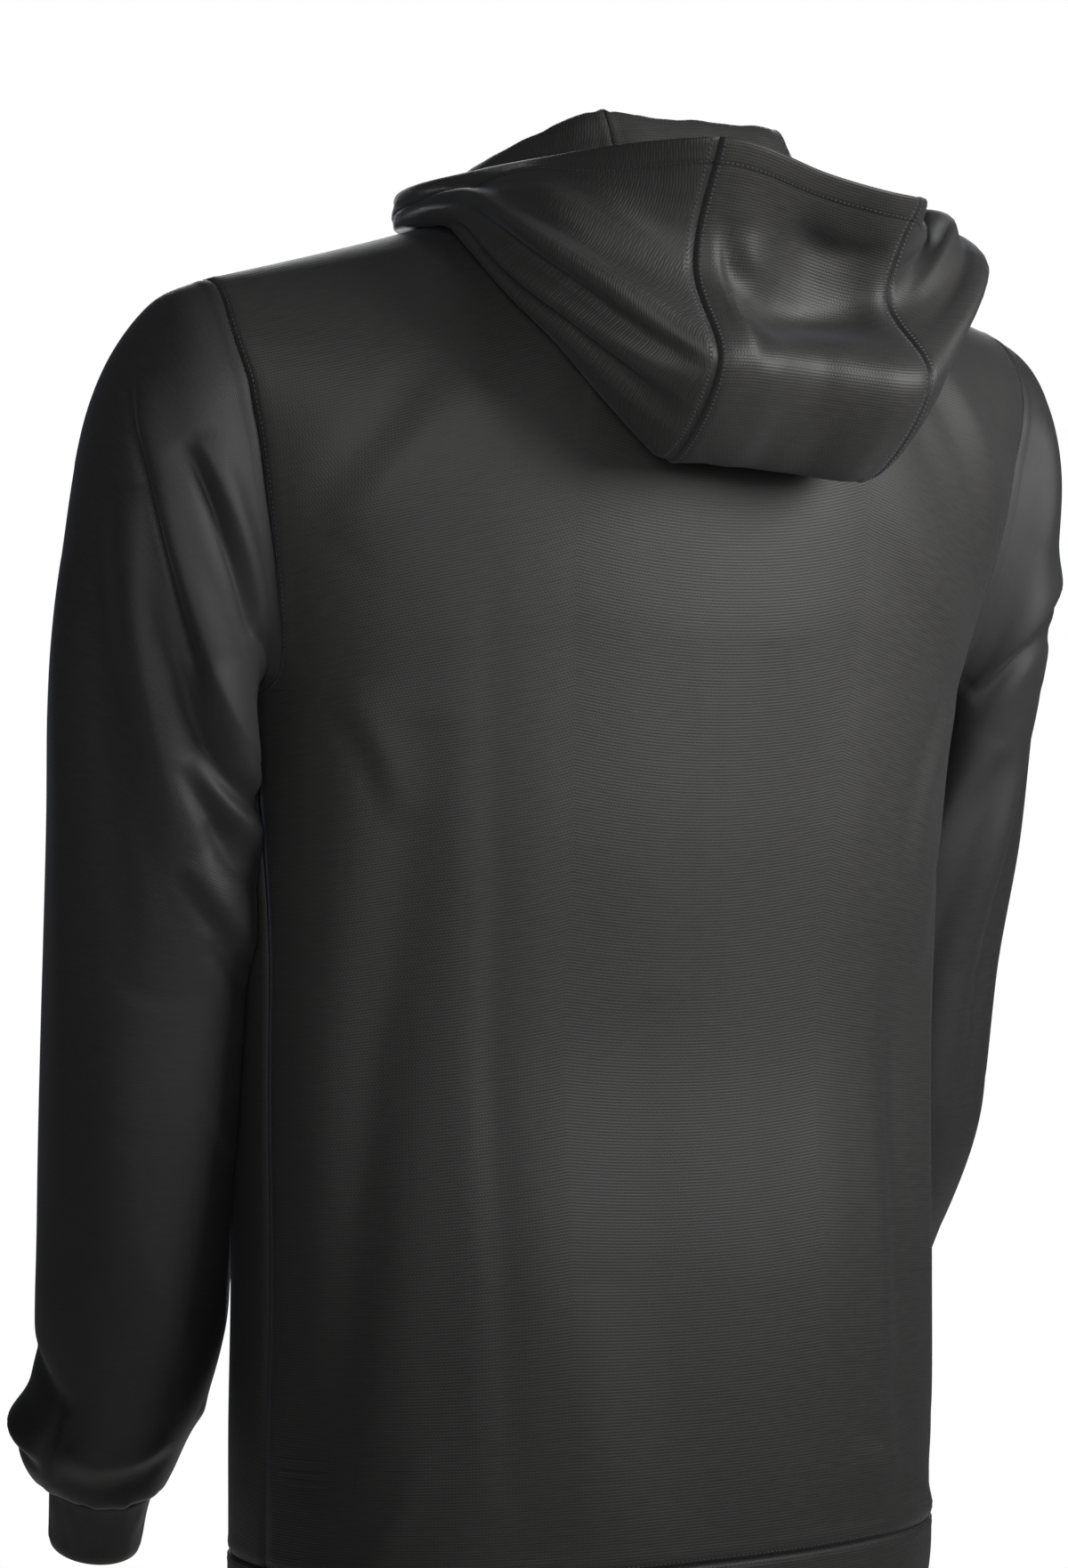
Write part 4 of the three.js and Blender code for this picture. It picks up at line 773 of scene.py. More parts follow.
def knit(name, colour, course, wale, relief, painted_gap_shade, roughness, sheen):
    """Polyester filament knit, machine knitted and piece dyed. The loops lie in courses across the
    cloth and wales along it, which gives fine lines, and the smooth filament a satin gloss. The real
    courses are about 1.3 mm apart, and drawn at most a fifth coarser so that they show."""
    found = bpy.data.materials.get(name)
    if found:
        return found
    material, tree, shader = new_material(name)
    place = add_node(tree, "ShaderNodeUVMap", uv_map="cloth").outputs["UV"]
    parts = add_node(tree, "ShaderNodeSeparateXYZ", {0: place}).outputs
    courses = wave(tree, parts["Y"], course)
    # Every second course is shifted by half a loop, as in a pique.
    double = wave(tree, parts["Y"], 2 * course)
    half_turn = add_node(tree, MATH, {0: double}, {1: np.pi / 2, 2: 0.0}, **FITTED).outputs[0]
    loops = wave(tree, parts["X"], wale, half_turn)
    low_loops = add_node(tree, MATH, {0: loops}, {1: 0.6, 2: 0.0}, **FITTED).outputs[0]
    pattern = add_node(tree, MATH, {0: courses, 1: low_loops}, operation="ADD").outputs[0]
    # Uneven yarn gives streaks along the courses, and uneven dye broad soft clouds.
    stretched = add_node(tree, "ShaderNodeMapping", {"Vector": place}, {"Scale": (90, 420, 1)})
    streaks = add_node(tree, NOISE, {"Vector": stretched.outputs[0]}, {"Scale": 1.0, "Detail": 3.0})
    streaks = streaks.outputs["Fac"]
    clouds = add_node(tree, "ShaderNodeTexCoord").outputs["Object"]
    cloudy = add_node(tree, NOISE, {"Vector": clouds}, {"Scale": 7.0, "Detail": 2.0}).outputs["Fac"]
    # Painted shade: the tone follows the loops' height, darker in the gaps between them and lighter on their
    # crowns, by the painted gap shade.
    shade = add_node(tree, MATH, {0: pattern}, {1: painted_gap_shade, 2: 1.0}, **FITTED).outputs[0]
    uneven = add_node(tree, MATH, {0: streaks}, {1: 0.5, 2: 0.75}, **FITTED).outputs[0]
    broad = add_node(tree, MATH, {0: cloudy}, {1: 0.24, 2: 0.88}, **FITTED).outputs[0]
    for factor in (uneven, broad):
        shade = add_node(tree, MATH, {0: shade, 1: factor}, operation="MULTIPLY").outputs[0]
    tint = add_node(tree, "ShaderNodeVectorMath", {"Scale": shade}, {0: colour[:3]}, operation="SCALE")
    tree.links.new(tint.outputs[0], shader.inputs["Base Color"])
    gloss = add_node(tree, MATH, {0: streaks}, {1: 0.12, 2: roughness - 0.06}, **FITTED)
    tree.links.new(gloss.outputs[0], shader.inputs["Roughness"])
    slubs = add_node(tree, MATH, {0: streaks}, {1: 1.2, 2: 0.0}, **FITTED).outputs[0]
    height = add_node(tree, MATH, {0: pattern, 1: slubs}, operation="ADD")
    depth = {"Strength": 0.6, "Distance": relief}
    bump = add_node(tree, "ShaderNodeBump", {"Height": height.outputs[0]}, depth)
    tree.links.new(bump.outputs[0], shader.inputs["Normal"])
    shader.inputs["IOR"].default_value = 1.5
    shader.inputs["Specular IOR Level"].default_value = 0.42
    shader.inputs["Sheen Weight"].default_value = sheen
    shader.inputs["Sheen Roughness"].default_value = 0.35
    shader.inputs["Sheen Tint"].default_value = linear("#b9c2d6")
    return material


def body_knit():
    """Fine pique: faint level lines and a soft satin gloss."""
    colour = (*settings().body_colour, 1)
    return knit(
        "Polyester pique knit", colour, course=0.0015, wale=0.0017, relief=0.00006, painted_gap_shade=0.12,
        roughness=0.58, sheen=0.10,
    )


def sleeve_knit():
    """Plain knit: smoother than the body's, and in a darker colour, which is painted shade on the sleeves and
    cuffs.
    """
    colour = (*settings().sleeve_shaded_colour, 1)
    return knit(
        "Polyester smooth knit in painted shade", colour, course=0.0013, wale=0.0015, relief=0.00004, painted_gap_shade=0.08,
        roughness=0.58, sheen=0.10,
    )


def hood_knit():
    """The body's pique with a little more gloss."""
    colour = (*settings().body_colour, 1)
    return knit(
        "Polyester satin knit", colour, course=0.0015, wale=0.0017, relief=0.00006, painted_gap_shade=0.14,
        roughness=0.54, sheen=0.10,
    )


def sewing_thread():
    """Spun polyester sewing thread, dyed black: duller and a little lighter than the cloth, with a fine
    random fuzz.
    """
    found = bpy.data.materials.get("Spun polyester thread")
    if found:
        return found
    material, tree, shader = new_material("Spun polyester thread")
    place = add_node(tree, "ShaderNodeTexCoord").outputs["Object"]
    fuzz = add_node(tree, NOISE, {"Vector": place}, {"Scale": 900.0}).outputs["Fac"]
    shade = add_node(tree, MATH, {0: fuzz}, {1: 0.8, 2: 0.6}, **FITTED).outputs[0]
    colour = tuple(settings().thread_colour)
    tint = add_node(tree, "ShaderNodeVectorMath", {"Scale": shade}, {0: colour}, operation="SCALE")
    tree.links.new(tint.outputs[0], shader.inputs["Base Color"])
    shader.inputs["Roughness"].default_value = 0.6
    return material


def zip_tape_weave():
    """Woven polyester zip tape in a herringbone: matt, with fine slanting ribs."""
    material, tree, shader = new_material("Woven polyester tape")
    place = add_node(tree, "ShaderNodeUVMap", uv_map="cloth").outputs["UV"]
    parts = add_node(tree, "ShaderNodeSeparateXYZ", {0: place}).outputs
    zigzag = add_node(tree, MATH, {0: parts["X"]}, {1: 0.002}, operation="PINGPONG").outputs[0]
    slant = add_node(tree, MATH, {0: parts["Y"], 1: zigzag}, operation="ADD").outputs[0]
    ribs = wave(tree, slant, 0.0011)
    # Painted shade: the tone follows the ribs' height, lighter on their crests and darker in the grooves
    # between them.
    shade = add_node(tree, MATH, {0: ribs}, {1: 0.2, 2: 1.0}, **FITTED).outputs[0]
    colour = linear("#1a1a1d")[:3]
    tint = add_node(tree, "ShaderNodeVectorMath", {"Scale": shade}, {0: colour}, operation="SCALE")
    tree.links.new(tint.outputs[0], shader.inputs["Base Color"])
    bump = add_node(tree, "ShaderNodeBump", {"Height": ribs}, {"Strength": 0.6, "Distance": 0.0001})
    tree.links.new(bump.outputs[0], shader.inputs["Normal"])
    shader.inputs["Roughness"].default_value = 0.75
    return material


def moulded_acetal():
    """Zip teeth injection moulded in black acetal: a low gloss with faint mottling."""
    material, tree, shader = new_material("Moulded black acetal")
    place = add_node(tree, "ShaderNodeTexCoord").outputs["Object"]
    mottle = add_node(tree, NOISE, {"Vector": place}, {"Scale": 400.0, "Detail": 2.0}).outputs["Fac"]
    gloss = add_node(tree, MATH, {0: mottle}, {1: 0.2, 2: 0.28}, **FITTED)
    tree.links.new(gloss.outputs[0], shader.inputs["Roughness"])
    shader.inputs["Base Color"].default_value = linear("#17171a")
    shader.inputs["IOR"].default_value = 1.48
    return material


def black_enamel():
    """Die-cast zinc under black baked enamel: a smooth gloss, with slight orange peel and rubbed spots."""
    material, tree, shader = new_material("Black baked enamel")
    place = add_node(tree, "ShaderNodeTexCoord").outputs["Object"]
    peel = add_node(tree, NOISE, {"Vector": place}, {"Scale": 700.0, "Detail": 1.0}).outputs["Fac"]
    rubbed = add_node(tree, NOISE, {"Vector": place}, {"Scale": 160.0, "Detail": 4.0}).outputs["Fac"]
    worn = add_node(tree, "ShaderNodeMapRange", {0: rubbed}, {1: 0.62, 2: 0.72}).outputs[0]
    tones = {6: linear("#141416"), 7: linear("#3c3d42")}
    colour = add_node(tree, "ShaderNodeMix", {0: worn}, tones, data_type="RGBA")
    tree.links.new(colour.outputs[2], shader.inputs["Base Color"])
    gloss = add_node(tree, MATH, {0: rubbed}, {1: 0.2, 2: 0.2}, **FITTED)
    tree.links.new(gloss.outputs[0], shader.inputs["Roughness"])
    bump = add_node(tree, "ShaderNodeBump", {"Height": peel}, {"Strength": 0.2, "Distance": 0.0001})
    tree.links.new(bump.outputs[0], shader.inputs["Normal"])
    shader.inputs["Metallic"].default_value = 0.0
    shader.inputs["Coat Weight"].default_value = 0.4
    shader.inputs["Coat Roughness"].default_value = 0.15
    return material


def transfer_print():
    """A heat-pressed transfer film, tone on tone: flatter and glossier than the knit it lies on."""
    material, tree, shader = new_material("Pressed transfer film")
    place = add_node(tree, "ShaderNodeUVMap", uv_map="cloth").outputs["UV"]
    parts = add_node(tree, "ShaderNodeSeparateXYZ", {0: place}).outputs
    courses = wave(tree, parts["Y"], 0.0016)
    bump = add_node(tree, "ShaderNodeBump", {"Height": courses}, {"Strength": 0.3, "Distance": 0.0001})
    tree.links.new(bump.outputs[0], shader.inputs["Normal"])
    gloss = add_node(tree, MATH, {0: courses}, {1: 0.05, 2: 0.34}, **FITTED)
    tree.links.new(gloss.outputs[0], shader.inputs["Roughness"])
    shader.inputs["Base Color"].default_value = linear("#343436")
    return material


# The pieces


def settings():
    """The sizes and colours of this scene."""
    return bpy.context.scene.hooded_top


class HoodedTopSettings(bpy.types.PropertyGroup):
    """The sizes and colours that a user would change."""

    cloth_thickness: FloatProperty(
        name="Cloth thickness", description="Thickness of the knit", default=0.0011, unit="LENGTH",
        precision=4,
    )
    hem_depth: FloatProperty(
        name="Hood hem", description="Depth of the turned hem of the hood", default=0.013, unit="LENGTH",
        precision=4,
    )
    stitch_gap: FloatProperty(
        name="Stitch gap", description="Distance from stitch to stitch", default=0.0026, unit="LENGTH",
        precision=4,
    )
    tooth_gap: FloatProperty(
        name="Tooth gap", description="Distance from zip tooth to zip tooth on one side", default=0.0032,
        unit="LENGTH", precision=4,
    )
    floor_height: FloatProperty(
        name="Floor", description="Height of the floor below the neck", default=-1.42, unit="LENGTH"
    )
    body_colour: FloatVectorProperty(
        name="Body cloth", description="Colour of the body, hood and bands", default=linear("#302f2e")[:3],
        subtype="COLOR", min=0, max=1,
    )
    # Painted shade: the sleeves' colour is darker than the body's to stand in for the shade that falls on
    # them.
    sleeve_shaded_colour: FloatVectorProperty(
        name="Sleeve cloth", description="Colour of the sleeves", default=linear("#2b2a2a")[:3],
        subtype="COLOR", min=0, max=1,
    )
    thread_colour: FloatVectorProperty(
        name="Thread", description="Colour of the sewing thread", default=linear("#3a3a3e")[:3],
        subtype="COLOR", min=0, max=1,
    )


@lru_cache
def back_panel():
    """The back's outer face, dipped along its seams."""
    points, out = draped_body(1, BACK_COLUMNS, BODY_ROWS)
    left, right, low, high = edge_distances(points)
    dip = seam_dip(left, 0.5) + seam_dip(right, 0.5) + seam_dip(low) + seam_dip(high)
    return points + out * dip[..., None], out


@lru_cache
def front_panel():
    """The left front's outer face, dipped along its seams and turned in beside the zip."""
    points, out = draped_body(-1, FRONT_COLUMNS, BODY_ROWS)
    left, right, low, high = edge_distances(points)
    dip = seam_dip(right, 0.5) + seam_dip(low) + seam_dip(high)
    return points + out * (dip + turned_edge(left, 7, 0.4))[..., None], out


def mirrored(*grids):
    """The same grids on the wearer's other side."""
    return [grid * np.array([-1, 1, 1]) for grid in grids]


@lru_cache
def band_ring():
    """The hem band's ring, the left front, the back and the right front in turn, with a dip at its
    seam and a rounded fold at the bottom."""
    front, front_out = draped_body(-1, FRONT_COLUMNS, BAND_ROWS)
    back, back_out = draped_body(1, BACK_COLUMNS, BAND_ROWS)
    other, other_out = mirrored(front, front_out)
    points = np.concatenate([front, back[:, ::-1][:, 1:], other[:, ::-1][:, 1:]], axis=1)
    out = np.concatenate([front_out, back_out[:, ::-1][:, 1:], other_out[:, ::-1][:, 1:]], axis=1)
    left, right, low, high = edge_distances(points)
    swell = 0.7 * np.sin(np.pi * np.clip(low / 37, 0, 1)) ** 0.6
    pucker = 0.45 * unevenness(left / 9, low / 40, 8) * np.sin(np.pi * np.clip(low / 37, 0, 1))
    height = swell + pucker + seam_dip(high) - 0.8 * np.exp(-((low / 2) ** 2))
    return points + out * height[..., None], out


class MESH_OT_hooded_top_body(bpy.types.Operator):
    """Make the back, both fronts and the hem band"""

    bl_idname = "mesh.hooded_top_body"
    bl_label = "Body"

    def execute(self, context):
        cloth = body_knit()
        back, back_out = back_panel()
        front, front_out = front_panel()
        cloth_piece("back", back, back_out, cloth, "body")
        cloth_piece("front_left", front, front_out, cloth, "body", rests_on=["back"])
        cloth_piece("front_right", *mirrored(front, front_out), cloth, "body", rests_on=["back"])
        band, band_out = band_ring()
        cloth_piece("hem_band", band, band_out, cloth, "trim_cloth", rests_on=["back"], thick=0.0022)
        return {"FINISHED"}


def oval_points(columns, around, station):
    """A point on an oval section: half the way from its inner to its outer point times a cosine, and
    its depth along the leaning cross line times a sine, from their middle."""
    turn = np.pi * (1 - around / ARMHOLE_CELLS)
    tilt = np.radians(columns["tilt"](station))
    y = columns["y"](station)
    outer = np.stack(np.broadcast_arrays(columns["outerX"](station), y, columns["outerZ"](station)), axis=-1)
    inner = np.stack(np.broadcast_arrays(columns["innerX"](station), y, columns["innerZ"](station)), axis=-1)
    depth = np.where(np.sin(turn) > 0, columns["back"](station), columns["front"](station))
    across = np.stack([np.zeros_like(tilt), np.cos(tilt), -np.sin(tilt)], axis=-1)
    to_side = (outer - inner) / 2 * np.cos(turn)[..., None]
    return (outer + inner) / 2 + to_side + across * (depth * np.sin(turn))[..., None]


def clear_of_body(points):
    """Moves points that would touch the body's side straight out of its ring."""
    x, y, z = points[..., 0], points[..., 1], points[..., 2]
    clearance = SLEEVE_CLEARANCE * smoothstep((UNDERARM_Z - z) / 30)
    centre = body["centreY"](z)
    depth = np.where(y > centre, body["backDepth"](z), body["frontDepth"](z))
    share = (np.abs(x) / (body["halfWidth"](z) + clearance)) ** SQUARENESS
    share = share + (np.abs(y - centre) / (depth + clearance)) ** SQUARENESS
    scale = np.where(z > UNDERARM_Z, 1, np.maximum(1, share ** (-1 / SQUARENESS)))
    return np.stack([x * scale, centre + (y - centre) * scale, z], axis=-1)


def bent_forward(points, forward):
    """Moves the forearm forward, by smoothstep below the elbow."""
    shift = forward * smoothstep((FOREARM_Z - points[..., 2]) / FOREARM_REACH)
    return points - shift[..., None] * np.array([0, 1, 0])


AROUND = np.arange(2 * ARMHOLE_CELLS * FINE) / FINE
SLEEVE_STATIONS = np.concatenate(
    [np.linspace(0, 3, 49), np.linspace(3, 11, 137)[1:], np.linspace(11, SLEEVE_END, 61)[1:]]
)


@lru_cache
def sleeve_points(side):
    """A sleeve's outer face: the armhole's ring eased into the ovals, with its folds, gathers above
    the cuff and a dip along its seams. The right one is made on the left side and mirrored."""
    around, station = AROUND[None, :], SLEEVE_STATIONS[:, None]
    full = 2 * ARMHOLE_CELLS
    k = np.minimum(around, full - around)
    behind = body_points(1, np.full_like(k, SHOULDER_X), armhole_row(k))
    before = body_points(-1, np.full_like(k, SHOULDER_X), armhole_row(k))
    armhole = np.where((around < ARMHOLE_CELLS)[..., None], behind, before)
    start = armhole - oval_points(sleeve, around, np.zeros((1, len(AROUND))))
    around, station = np.broadcast_arrays(around, station)
    points = oval_points(sleeve, around, station) + start * (1 - smoothstep(station / 3))[..., None]
    out = normals(points, -1, wrap=True)
    ends = smoothstep(station / 1.6) * smoothstep((SLEEVE_END - station) / 1.5)
    folds = SLEEVE_FOLDS if side == "left" else RIGHT_SLEEVE_FOLDS
    height = fold_relief(points, out, AROUND, SLEEVE_STATIONS, folds) * ends
    start = smoothstep((station - 0.3) / 1.2) * smoothstep((SLEEVE_END - station) / 0.7)
    height = height + fold_relief(points, out, AROUND, SLEEVE_STATIONS, SLEEVE_CREASES) * start
    waver = unevenness(around / 3 % 8, station * 0.9 + 3, 12)
    under = np.minimum(around, full - around)
    height = height + waver * smoothstep(under / 2) * ends
    gathers = unevenness(around * 1.9, station * 0.6, 21) + 0.6 * unevenness(around * 3.1, station * 0.5, 22)
    gathered = smoothstep((station - 12.4) / 1.2) * smoothstep((SLEEVE_END - station) / 0.3)
    height = height + gathers * gathered * smoothstep(under / 1.5)
    forward = 0 if side == "left" else RIGHT_FOREARM_FORWARD
    points = clear_of_body(bent_forward(points + out * height[..., None], forward))
    out = normals(points, -1, wrap=True)
    down = steps(points, 0)
    dip = seam_dip(down, 0.5) + seam_dip(down[-1:] - down) + seam_dip(under * 16, 0.5)
    points = points + out * dip[..., None]
    return (points, out) if side == "left" else mirrored(points, out)


@lru_cache
def cuff_points(side):
    """A cuff's outer face, with a dip at its seam and a rounded fold at its end."""
    forward = 0 if side == "left" else RIGHT_FOREARM_FORWARD
    around, station = np.broadcast_arrays(AROUND[None, :], np.linspace(0, 3, 25)[:, None])
    points = bent_forward(oval_points(cuff, around, station), forward)
    out = normals(points, -1, wrap=True)
    down = steps(points, 0)
    end = down[-1:] - down
    pucker = 0.4 * unevenness(around * 1.3, station, 5) * smoothstep(down / 6) * smoothstep(end / 6)
    height = seam_dip(down) + pucker + 0.5 * smoothstep(down / 6) - 0.9 * np.exp(-((end / 2) ** 2))
    points = points + out * height[..., None]
    return (points, out) if side == "left" else mirrored(points, out)


class MESH_OT_hooded_top_sleeves(bpy.types.Operator):
    """Make both sleeves and their cuffs"""

    bl_idname = "mesh.hooded_top_sleeves"
    bl_label = "Sleeves"

    def execute(self, context):
        cloth = sleeve_knit()
        for side in ("left", "right"):
            arm, end = sleeve_points(side), cuff_points(side)
            cloth_piece("sleeve_" + side, *arm, cloth, "sleeve_cloth", rests_on=["back"], wrap=True)
            on_arm = ["sleeve_" + side]
            cloth_piece("cuff_" + side, *end, cloth, "trim_cloth", rests_on=on_arm, wrap=True, thick=0.002)
        return {"FINISHED"}


HOOD_KNOT_ROWS = np.concatenate([np.linspace(0, 6.7, 121), np.linspace(6.7, 7, 15)[1:]])
HOOD_HALF_ANGLES = np.concatenate([np.linspace(0, 90, 37), np.linspace(90, ZIP_ANGLE, 37)[1:]])
HOOD_ANGLES = np.concatenate([-HOOD_HALF_ANGLES[:0:-1], HOOD_HALF_ANGLES])
HOOD_MIDDLE = len(HOOD_HALF_ANGLES) - 1
HOOD_SEAM_COLUMN = int(np.argmin(np.abs(HOOD_HALF_ANGLES - HOOD_SEAM_ANGLE)))


def hood_sections(angles, rows):
    """The hood's sections from the neck seam to the hem: for each angle a centripetal spline through
    its knots, whose tangents weigh the neighbouring steps by the square roots of their lengths."""
    behind = angles <= 90
    x = neck_x(angles)
    back_y, back_z = top_edge(1, x)
    front_y, front_z = top_edge(-1, x)
    seam_y, seam_z = np.where(behind, back_y, front_y), np.where(behind, back_z, front_z)
    knots = [np.stack([x, seam_y, seam_z], axis=-1)]
    for i, name in enumerate(HOOD_KNOTS):
        share = smoothstep((i + 1) / len(HOOD_KNOTS))
        low, high = hood["lowTurn"](angles), hood["highTurn"](angles)
        turn = np.radians(low + (high - low) * share)
        out = hood[name + "Out"](angles)
        z = hood[name + "Z"](angles)
        knots.append(np.stack([x + out * np.sin(turn), seam_y + out * np.cos(turn), z], axis=-1))
    knots = [2 * knots[0] - knots[1], *knots, 2 * knots[-1] - knots[-2]]
    knots = np.stack(knots)
    cell = np.clip(rows.astype(int), 0, len(HOOD_KNOTS) - 1)
    t = (rows - cell)[:, None, None]
    p0, p1, p2, p3 = (knots[cell + k] for k in range(4))
    gap = [np.sqrt(np.linalg.norm(b - a, axis=-1, keepdims=True)) for a, b in ((p0, p1), (p1, p2), (p2, p3))]
    leave = ((p1 - p0) / gap[0] - (p2 - p0) / (gap[0] + gap[1]) + (p2 - p1) / gap[1]) * gap[1]
    arrive = ((p2 - p1) / gap[1] - (p3 - p1) / (gap[1] + gap[2]) + (p3 - p2) / gap[2]) * gap[1]
    cubic = 2 * p1 - 2 * p2 + leave + arrive
    square = -3 * p1 + 3 * p2 - 2 * leave - arrive
    return p1 + leave * t + square * t**2 + cubic * t**3


def shoulder_cover():
    """Points and normals over the shoulders, which the hood keeps clear of."""
    columns = np.linspace(-SHOULDER_X, SHOULDER_X, 97)
    rows = SHOULDER_Z - 180 * np.linspace(1, 0, 40) ** 2
    grids = [draped_body(side, columns, rows) for side in (1, -1)]
    return [np.concatenate([grid[part].reshape(-1, 3) for grid in grids]) for part in (0, 1)]


def clear_of_shoulders(points, clearance):
    """Lifts each point along the normal of its nearest place on the shoulders, up to the clearance."""
    cover, out = shoulder_cover()
    nearest = np.empty(points.shape[:2], int)
    for i, row in enumerate(points):
        nearest[i] = ((cover**2).sum(axis=1)[None] - 2 * row @ cover.T).argmin(axis=1)
    height = ((points - cover[nearest]) * out[nearest]).sum(axis=-1)
    return points + out[nearest] * np.clip(clearance - height, 0, None)[..., None]


def hood_points():
    """The whole hood's outer face as one grid over both sides, with its folds and seams."""
    rows = HOOD_KNOT_ROWS
    half = hood_sections(HOOD_HALF_ANGLES, rows)
    cleared = clear_of_shoulders(half, np.minimum(HOOD_CLEARANCE, 2.1 * rows)[:, None])
    cleared[0] = half[0]
    points = np.concatenate([cleared[:, :0:-1] * np.array([-1, 1, 1]), cleared], axis=1)
    angle, knot = HOOD_ANGLES[None, :], rows[:, None]
    for at, on, spread, reach, *push in zip(*HOOD_LUMPS.values()):
        weight = np.exp(-(((angle - at) / spread) ** 2) - ((knot - on) / reach) ** 2)
        points = points + weight[..., None] * np.array(push) * smoothstep(knot / 0.5)[..., None]
    out = normals(points, 1)
    from_seam = smoothstep(knot / 0.6)
    relief = fold_relief(points, out, HOOD_ANGLES, rows, HOOD_FOLDS, reach=1.3)
    height = relief * from_seam * smoothstep((7.15 - knot) / 0.4) * smoothstep((172 - np.abs(angle)) / 30)
    waver = unevenness(angle / 9 + 40, knot * 1.6, 17)
    height = height + waver * from_seam * smoothstep((7 - knot) / 0.6)
    points = points + out * height[..., None]
    out = normals(points, 1)
    hem = steps(points, 0)
    hem = hem[-1:] - hem
    depth = settings().hem_depth / MM
    seams = [HOOD_MIDDLE - HOOD_SEAM_COLUMN, HOOD_MIDDLE + HOOD_SEAM_COLUMN]
    run = steps(points, 1)
    from_seams = np.minimum(*[np.abs(run - run[:, [column]]) for column in seams])
    height = turned_edge(hem, depth) + seam_dip(steps(points, 0)) + seam_dip(from_seams, 0.9, 1.2, 0.45)
    height = height - 0.5 * np.exp(-((hem / 1.2) ** 2))
    return points + out * height[..., None], out


@lru_cache
def hood_panels():
    """The hood's three panels, cut from its whole grid at the two seams."""
    points, out = hood_points()
    low, high = HOOD_MIDDLE - HOOD_SEAM_COLUMN, HOOD_MIDDLE + HOOD_SEAM_COLUMN
    spans = {
        "hood_right": slice(0, low + 1),
        "hood_centre": slice(low, high + 1),
        "hood_left": slice(high, None),
    }
    return {name: (points[:, span], out[:, span]) for name, span in spans.items()}


class MESH_OT_hooded_top_hood(bpy.types.Operator):
    """Make the hood's centre and side panels"""

    bl_idname = "mesh.hooded_top_hood"
    bl_label = "Hood"

    def execute(self, context):
        cloth = hood_knit()
        for name, (points, out) in hood_panels().items():
            # A side panel is about as wide as its neck edge, as its other end narrows to the zip.
            side = name != "hood_centre"
            width = steps(points, 1)[0, -1] if side else None
            cloth_piece(name, points, out, cloth, "body", rests_on=["back"], turned=side, width=width)
        return {"FINISHED"}


class MESH_OT_hooded_top_stitching(bpy.types.Operator):
    """Make the stitching beside every seam and along the hems"""

    bl_idname = "mesh.hooded_top_stitching"
    bl_label = "Stitching"

    def execute(self, context):
        gap = settings().stitch_gap / MM
        panels = hood_panels()
        left, centre, right = panels["hood_left"], panels["hood_centre"], panels["hood_right"]
        sewn = [(left, "left"), (centre, "right"), (centre, "left"), (right, "right")]
        rows = [inset(*grid, 3.4, edge) for grid, edge in sewn]
        stitching("hood_seam_stitching", rows, gap=gap * 0.9, length=1.1, width=2.3)
        hem = settings().hem_depth / MM - 0.6
        lines = [inset(*grid, hem, "last") for grid in panels.values()]
        stitching("hood_hem_stitching", lines, gap=gap)
        back, front = back_panel(), front_panel()
        other = mirrored(*front)
        above = slice(UNDERARM_ROW, None)
        armholes = [(back, "left"), (back, "right"), (front, "right"), (other, "right")]
        lines = [inset(points[above], out[above], 2.2, edge) for (points, out), edge in armholes]
        stitching("armhole_stitching", lines, gap=gap)
        edges = [inset(*grid, 6.2, "left") for grid in (front, other)]
        stitching("front_edge_stitching", edges, gap=gap)
        band, band_out = band_ring()
        lines = [inset(band, band_out, 2.4, "last")]
        lines += [inset(*grid, 2.4, "first") for grid in (back, front, other)]
        stitching("hem_band_stitching", lines, gap=gap)
        return {"FINISHED"}


ZIP_ROWS = np.concatenate([BAND_ROWS[:-1], BODY_ROWS])
TAPE_COLUMNS = 14
TAPE_DEPTH = 1.7
# The bare lengths of the zip below its lowest and above its highest tooth.
TEETH_FROM_HEM = 9.0
TEETH_FROM_NECK = 13.5


def zip_edge():
    """The left front's and band's columns over the zip tape, from the hem to the neck seam."""
    x, row = FRONT_COLUMNS[None, :TAPE_COLUMNS], ZIP_ROWS[:, None]
    points = body_points(-1, x, row)
    return points, normals(points, -1)


def zip_line():
    """The line down the middle of the front with its outward direction."""
    points, out = zip_edge()
    return points[:, 0] * np.array([0, 1, 1]), unit(out[:, 0] * np.array([0, 1, 1]))


# A zip tooth's outline in its own frame, by the place across and along the zip, and its layers
# by scale and rise above the front. Its head is wider than its neck.
TOOTH_HALF = np.array([[-0.2, -0.75], [1.6, -0.6], [2.1, -1.05], [2.9, -0.8]])
TOOTH_OUTLINE = np.concatenate([TOOTH_HALF, TOOTH_HALF[::-1] * np.array([1, -1])])
TOOTH_LAYERS = np.array([[1.0, -3.2], [1.0, -1.7], [0.8, -1.25]])
TOOTH_OVERLAP = 1.35


